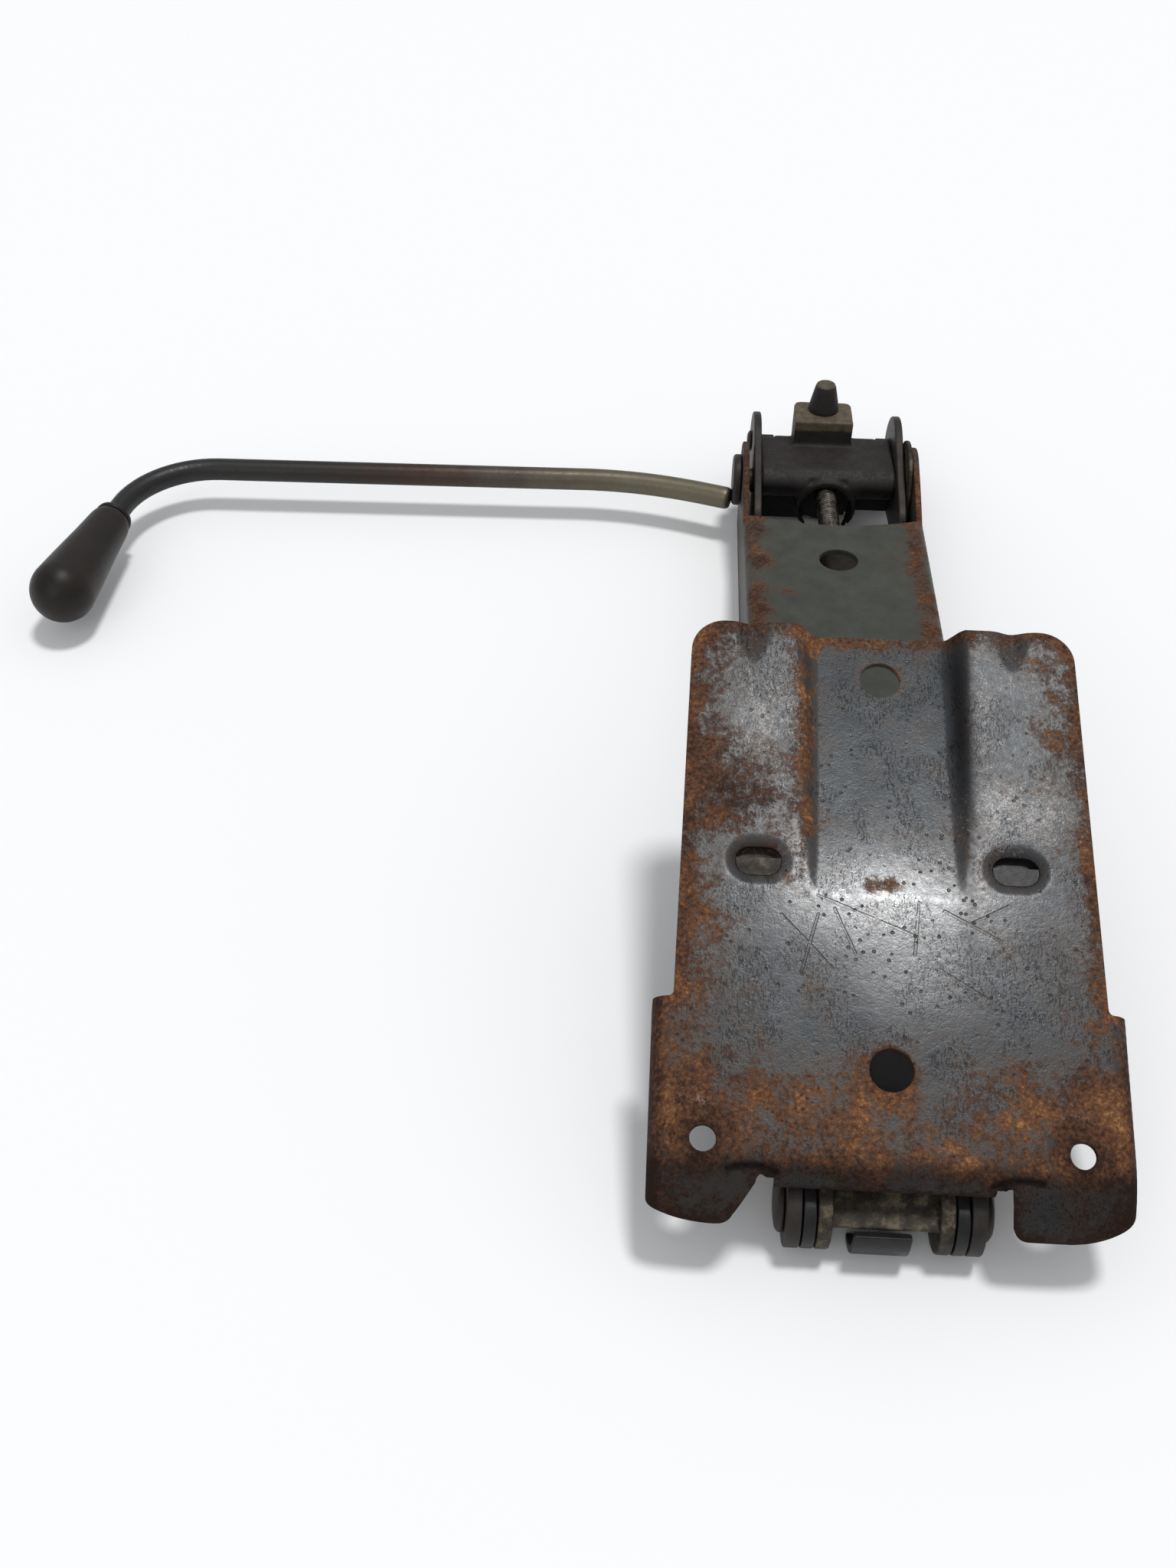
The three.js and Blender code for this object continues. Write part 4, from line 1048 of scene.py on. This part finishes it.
def half_arm():
    """Right half of the channel's blank, from the middle of its near edge to its far edge."""
    ear = arc(SHAFT[0], -SHAFT[1], EAR_R, 40, -112, 26)
    ear = np.column_stack([BEND_END - ARM_BEND + ear[:, 1], ear[:, 0]])
    top = ear[-1]
    return np.concatenate([
        [[0, ARM_NEAR], [SHOULDER, ARM_NEAR]],
        bezier([BEND_END, ARM_NEAR], [BEND_END + 2, ARM_NEAR], [BEND_END + 4, ARM_NEAR - 3], 3),
        bezier([blank_u(-40), FLANGE_NEAR + 3], [blank_u(-42), FLANGE_NEAR], [blank_u(-46), FLANGE_NEAR], 4),
        [[blank_u(rest_line(FLANGE_NEAR)), FLANGE_NEAR], [blank_u(rest_line(226.0)), 226.0]],
        ear, bezier(top, [blank_u(3.0), 192.0], [BEND_END, ARM_FAR + 0.02], 8)[1:],
        bezier([ARM_HALF - ARM_SHEET, ARM_FAR - 0.4], [20.0, ARM_FAR - ARM_DIP - 0.4],
               [0, ARM_FAR - ARM_DIP], 12),
    ])


def arm_fields(flat):
    """Rust along both shoulders, round the hole and in a few patches."""
    u, v = flat.T
    rust = 0.66 * np.exp(-((np.abs(u) - 39.0) / 7.5) ** 2) + 0.12 * (np.abs(u) > BEND_END)
    rust += 0.3 * np.exp(-np.abs(np.hypot(u, v - ARM_HOLE_Y) - ARM_HOLE_R) / 4)
    rust += 0.45 * blob(u, v, (-24, 112), (7, 6)) + 0.4 * blob(u, v, (22, 128), (8, 3))
    rust += 0.35 * blob(u, v, (26, 100), (6, 5)) + 0.3 * blob(u, v, (12, 112), (9, 3))
    rust += 0.2 * blob(u, v, (8, 152), (14, 6))
    return {"rust": rust - 0.16}


def arm():
    """Channel with its top hole and a bore in each ear."""
    holes = [pin_hole((0, ARM_HOLE_Y), ARM_HOLE_R)]
    holes += [pin_hole((side * blank_u(SHAFT[1]), SHAFT[0]), SHAFT_R + GAP) for side in (-1, 1)]
    sheet("arm_channel_pressing", mirrored(half_arm()), holes, arm_shape, ARM.place, ARM_SHEET, "arm",
          ARM_PAINT, ("arm_channel",), step=2.6, edge=0.6, fields=arm_fields)


def friction_plate():
    """Extra disc between the right ear and the right cheek."""
    rim = arc(SHAFT[0] + 2, SHAFT[1], 22, 0, 360, 48)[:-1]
    near, far = CHEEK_IN + CHEEK_T + 0.5, ARM_HALF - ARM_SHEET - 0.4
    side_plate("friction_plate_disc", rim, [pin_hole(SHAFT, SHAFT_R + GAP)], near, far, ARM.place, "arm",
               BRASSY, ("friction_plate",), edge=0.5)


arm()
friction_plate()


# ---- far head -----------------------------------------------------------------------
def head():
    """Cheeks, rivets, cast block, stud and nut."""
    outline = link_loop((251, -11), 23.8, (200, -17), 12)
    holes = [pin_hole(SHAFT, SHAFT_R + GAP), pin_hole((RIVET_Y, RIVET_Z), RIVET_R + GAP)]
    for name, side in (("left", -1), ("right", 1)):
        near, far = sorted((side * CHEEK_IN, side * (CHEEK_IN + CHEEK_T)))
        side_plate(f"head_cheek_{name}_plate", outline, holes, near, far, ARM.place, "head",
                   DARK_STEEL, (f"head_cheek_{name}",), edge=0.9)
        face = CHEEK_IN + CHEEK_T + GAP
        dome = [[AXIS_POINT, 27], [RIVET_R, 27], [RIVET_R, face], [5.5, face], [5.3, face + 1.0],
                [3.6, face + 2.0], [AXIS_POINT, face + 2.2]]
        turned(f"cheek_rivet_{name}_dome", soften(dome, 0.4), ARM.place, [0, RIVET_Y, RIVET_Z], (side, 0, 0),
               "head", DARK_STEEL, (f"cheek_rivet_{name}",), sides=32)
    block = merged_copy("head_block_casting", "head_block", "head", CASTING)
    voxels = block.modifiers.new("casting", "REMESH")
    voxels.mode = "VOXEL"
    voxels.voxel_size = 0.0008
    voxels.use_smooth_shade = True
    soft = block.modifiers.new("foundry_radius", "SMOOTH")
    soft.factor = 0.5
    soft.iterations = 3
    bake(block)
    x, y, z = local_points(block, ARM).T
    # painted light: the block's upper faces are made tan; painted shade: its lower faces under the overhang go
    # near black
    store(block, "light", smooth((z - 6.0) / 5.5))
    store(block, "deep", smooth((-2.5 - z) / 5) * (1 - 0.55 * smooth((18 - np.abs(x)) / 4)))
    base = PAD_TOP + GAP
    stud = [[AXIS_POINT, base - 7], [4, base - 7], [4, base], [8.0, base], [7.6, base + 3], [5.4, base + 13],
            [4.7, base + 14.7], [AXIS_POINT, base + 14.7]]
    stud = turned("head_stud_turned", soften(stud, 0.7), ARM.place, [*STUD, 0], (0, 0, 1), "head",
                  CASTING, ("head_stud",), sides=40)
    # painted light: the stud's end face is made tan while its side stays dark, and 'deep' darkens it slightly as
    # painted shade
    store(stud, "light", 0.85 * smooth((local_points(stud, ARM)[:, 2] - base - 13.2) / 1.2))
    store(stud, "deep", np.full(len(stud.data.vertices), 0.1))
    nut = merged_copy("tension_nut_hex", "tension_nut", "screw", BAR)
    round_edges(nut, 0.5)


def threaded_screw():
    """Thread: the radius falls and rises once for each pitch along the axis and turns with the
    bearing, so the crests run round as a helix; both ends shrink to a chamfer."""
    y = np.arange(SCREW_FROM, SCREW_TO + 0.01, SCREW_PITCH / 8)
    a = np.linspace(0, 2 * math.pi, 40, endpoint=False)
    phase = (y[:, None] / SCREW_PITCH + a[None] / (2 * math.pi)) % 1
    cut = THREAD_DEPTH * np.abs(2 * phase - 1)
    end = np.minimum(y - SCREW_FROM, SCREW_TO - y)[:, None]
    radius = np.minimum(SCREW_R - cut, 3.6 + 1.2 * end)
    along = np.broadcast_to(y[:, None], radius.shape)
    rings = np.stack([radius * np.sin(a), along, SCREW_Z + radius * np.cos(a)], -1)
    points, faces = rings_to_mesh(rings)
    make("tension_screw_thread", ARM.place(points), faces, "screw", THREAD, ("tension_screw",))


head()
threaded_screw()


# ---- clamp lever --------------------------------------------------------------------
HUB_FACE = -ARM_HALF - GAP - 4.2
BAR_START = np.array([HUB_FACE + 3, 214.8, BAR_Z])
BAR_CORNERS = [((-78, 225, BAR_Z), 14), ((-110, 230.3, BAR_Z), 16), ((-356.5, 225.6, BAR_Z), 38)]
KNOB_NECK = np.array([-363.8, 177.0, -18.6])
KNOB_AXIS = (KNOB_NECK - BAR_CORNERS[2][0]) / np.linalg.norm(KNOB_NECK - BAR_CORNERS[2][0])


def bar_path():
    """Straight runs joined by cubic bends that start and end 'reach' from each corner."""
    ends = [np.array(c, float) for c, _ in BAR_CORNERS[1:]] + [KNOB_NECK + 20 * KNOB_AXIS]
    points, last = [BAR_START[None]], BAR_START
    for (corner, reach), after in zip(BAR_CORNERS, ends):
        corner = np.array(corner, float)
        into = (corner - last) / np.linalg.norm(corner - last) * reach
        out = (after - corner) / np.linalg.norm(after - corner) * reach
        start, stop = corner - into, corner + out
        c1, c2 = start + 0.58 * into, stop - 0.58 * out
        t = np.linspace(0, 1, 16)[:, None]
        bend = (1 - t) ** 3 * start + 3 * t * (1 - t) ** 2 * c1 + 3 * t**2 * (1 - t) * c2 + t**3 * stop
        points.append(bend)
        last = stop
    points.append(ends[-1][None])
    path = np.concatenate(points)
    s = np.concatenate([[0], np.cumsum(np.linalg.norm(np.diff(path, axis=0), axis=1))])
    at = np.linspace(0, s[-1], 260)
    return np.column_stack([np.interp(at, s, path[:, i]) for i in range(3)])


def lever():
    """Hub disc with its half of the shaft, bent bar, teardrop knob and the knob's collar."""
    face = -ARM_HALF - GAP - 0.2
    hub = [[AXIS_POINT, face - 4], [12.0, face - 4], [13, face - 3.0], [13, face], [SHAFT_R, face],
           [SHAFT_R, -STUB_IN], [AXIS_POINT, -STUB_IN]]
    turned("lever_hub_disc", soften(hub, 0.6), ARM.place, [0, *SHAFT], (1, 0, 0), "lever",
           DARK_STEEL, ("lever_hub",))
    path = bar_path()
    path = path[path[:, 0] < HUB_FACE - GAP]
    radii = np.full(len(path), BAR_R)
    radii[:2] = [BAR_R - 0.8, BAR_R - 0.15]
    points, faces = rings_to_mesh(tube_rings(path, radii, 32))
    make("lever_bar_bent", ARM.place(points), faces, "lever", BAR, ("lever_bar",))
    bore = BAR_R + 0.5
    dome = arc(0, KNOB_BALL, KNOB_R, -8, 88, 14)
    neck = [[bore, KNOB_BORE_DEPTH], [bore, 0.4], [7.8, 0.0], [9.6, 1.0], [10.4, 5.0], [11.7, 20.0],
            [14.0, 42.0], dome[0]]
    top = [AXIS_POINT, KNOB_BALL + KNOB_R]
    skin = np.concatenate([[[AXIS_POINT, KNOB_BORE_DEPTH]], soften(neck, 1.4, 4), dome[1:], [top]])
    turned("lever_knob_moulding", skin, ARM.place, KNOB_NECK, KNOB_AXIS, "lever", KNOB,
           ("lever_knob",), sides=64)
    collar = [[bore, -4], [7.6, -4], [9.0, -3.0], [9.3, -1.6], [9.3, -GAP], [bore, -GAP]]
    turned("knob_collar_ring", collar, ARM.place, KNOB_NECK, KNOB_AXIS, "lever", KNOB,
           ("knob_collar",), ring=True)


lever()


# ---- camera, floor and light --------------------------------------------------------
CAMERA_AT = (-0.09156, -0.51086, 0.48298)
CAMERA_DOWN, CAMERA_YAW, CAMERA_ROLL = math.radians(45.134), math.radians(-2.361), math.radians(0.774)
LENS, SENSOR = 38.67, 36.0


def camera():
    """Camera from its bearing, its angle below the horizon and its roll."""
    level = math.cos(CAMERA_DOWN)
    ahead = np.array([math.sin(CAMERA_YAW) * level, math.cos(CAMERA_YAW) * level, -math.sin(CAMERA_DOWN)])
    right = np.array([math.cos(CAMERA_YAW), -math.sin(CAMERA_YAW), 0.0])
    up = np.cross(right, ahead)
    across = math.cos(CAMERA_ROLL) * right + math.sin(CAMERA_ROLL) * up
    upward = math.cos(CAMERA_ROLL) * up - math.sin(CAMERA_ROLL) * right
    data = bpy.data.cameras.new("camera")
    data.lens, data.sensor_width = LENS, SENSOR
    view = bpy.data.objects.new("camera", data)
    turn = Matrix([[across[i], upward[i], -ahead[i], CAMERA_AT[i]] for i in range(3)] + [[0, 0, 0, 1]])
    view.matrix_world = turn
    bpy.context.scene.collection.objects.link(view)
    bpy.context.scene.camera = view


def floor():
    """Pale plain floor at the height the part stands on."""
    half = 6.0
    low = CAD_BOX[0].z - 0.0002
    corners = [(-half, -half, low), (half, -half, low), (half, half, low), (-half, half, low)]
    mesh = bpy.data.meshes.new("floor")
    mesh.from_pydata(corners, [], [(0, 1, 2, 3)])
    ground = bpy.data.objects.new("floor", mesh)
    pale = bpy.data.materials.new("pale_floor")
    pale.use_nodes = True
    shader = pale.node_tree.nodes["Principled BSDF"]
    shader.inputs["Base Color"].default_value = (0.86, 0.86, 0.86, 1.0)
    shader.inputs["Roughness"].default_value = 0.9
    mesh.materials.append(pale)
    bpy.context.scene.collection.objects.link(ground)


def lamp(name, kind, towards, energy, **settings):
    """Lamp that shines along 'towards'."""
    data = bpy.data.lights.new(name, kind)
    data.energy = energy
    for key, value in settings.items():
        setattr(data, key, value)
    light = bpy.data.objects.new(name, data)
    z = -np.array(towards, float) / np.linalg.norm(towards)
    x = np.cross([0.0, 1.0, 0.0], z)
    x /= np.linalg.norm(x)
    y = np.cross(z, x)
    light.matrix_world = Matrix([[x[i], y[i], z[i], 2 * z[i]] for i in range(3)] + [[0, 0, 0, 1]])
    bpy.context.scene.collection.objects.link(light)


def room():
    """Even, slightly cool light from all round."""
    world = bpy.data.worlds.new("soft_room")
    world.use_nodes = True
    background = world.node_tree.nodes["Background"]
    background.inputs["Color"].default_value = (0.95, 0.97, 1.0, 1.0)
    background.inputs["Strength"].default_value = 0.55
    bpy.context.scene.world = world


camera()
floor()
lamp("ceiling_light", "SUN", (-0.15, -0.08, -0.985), 1.7, angle=math.radians(10))
lamp("room_fill", "SUN", (0.25, 0.75, -0.60), 0.4, angle=math.radians(40))
room()
bpy.context.scene.view_settings.view_transform = "Standard"
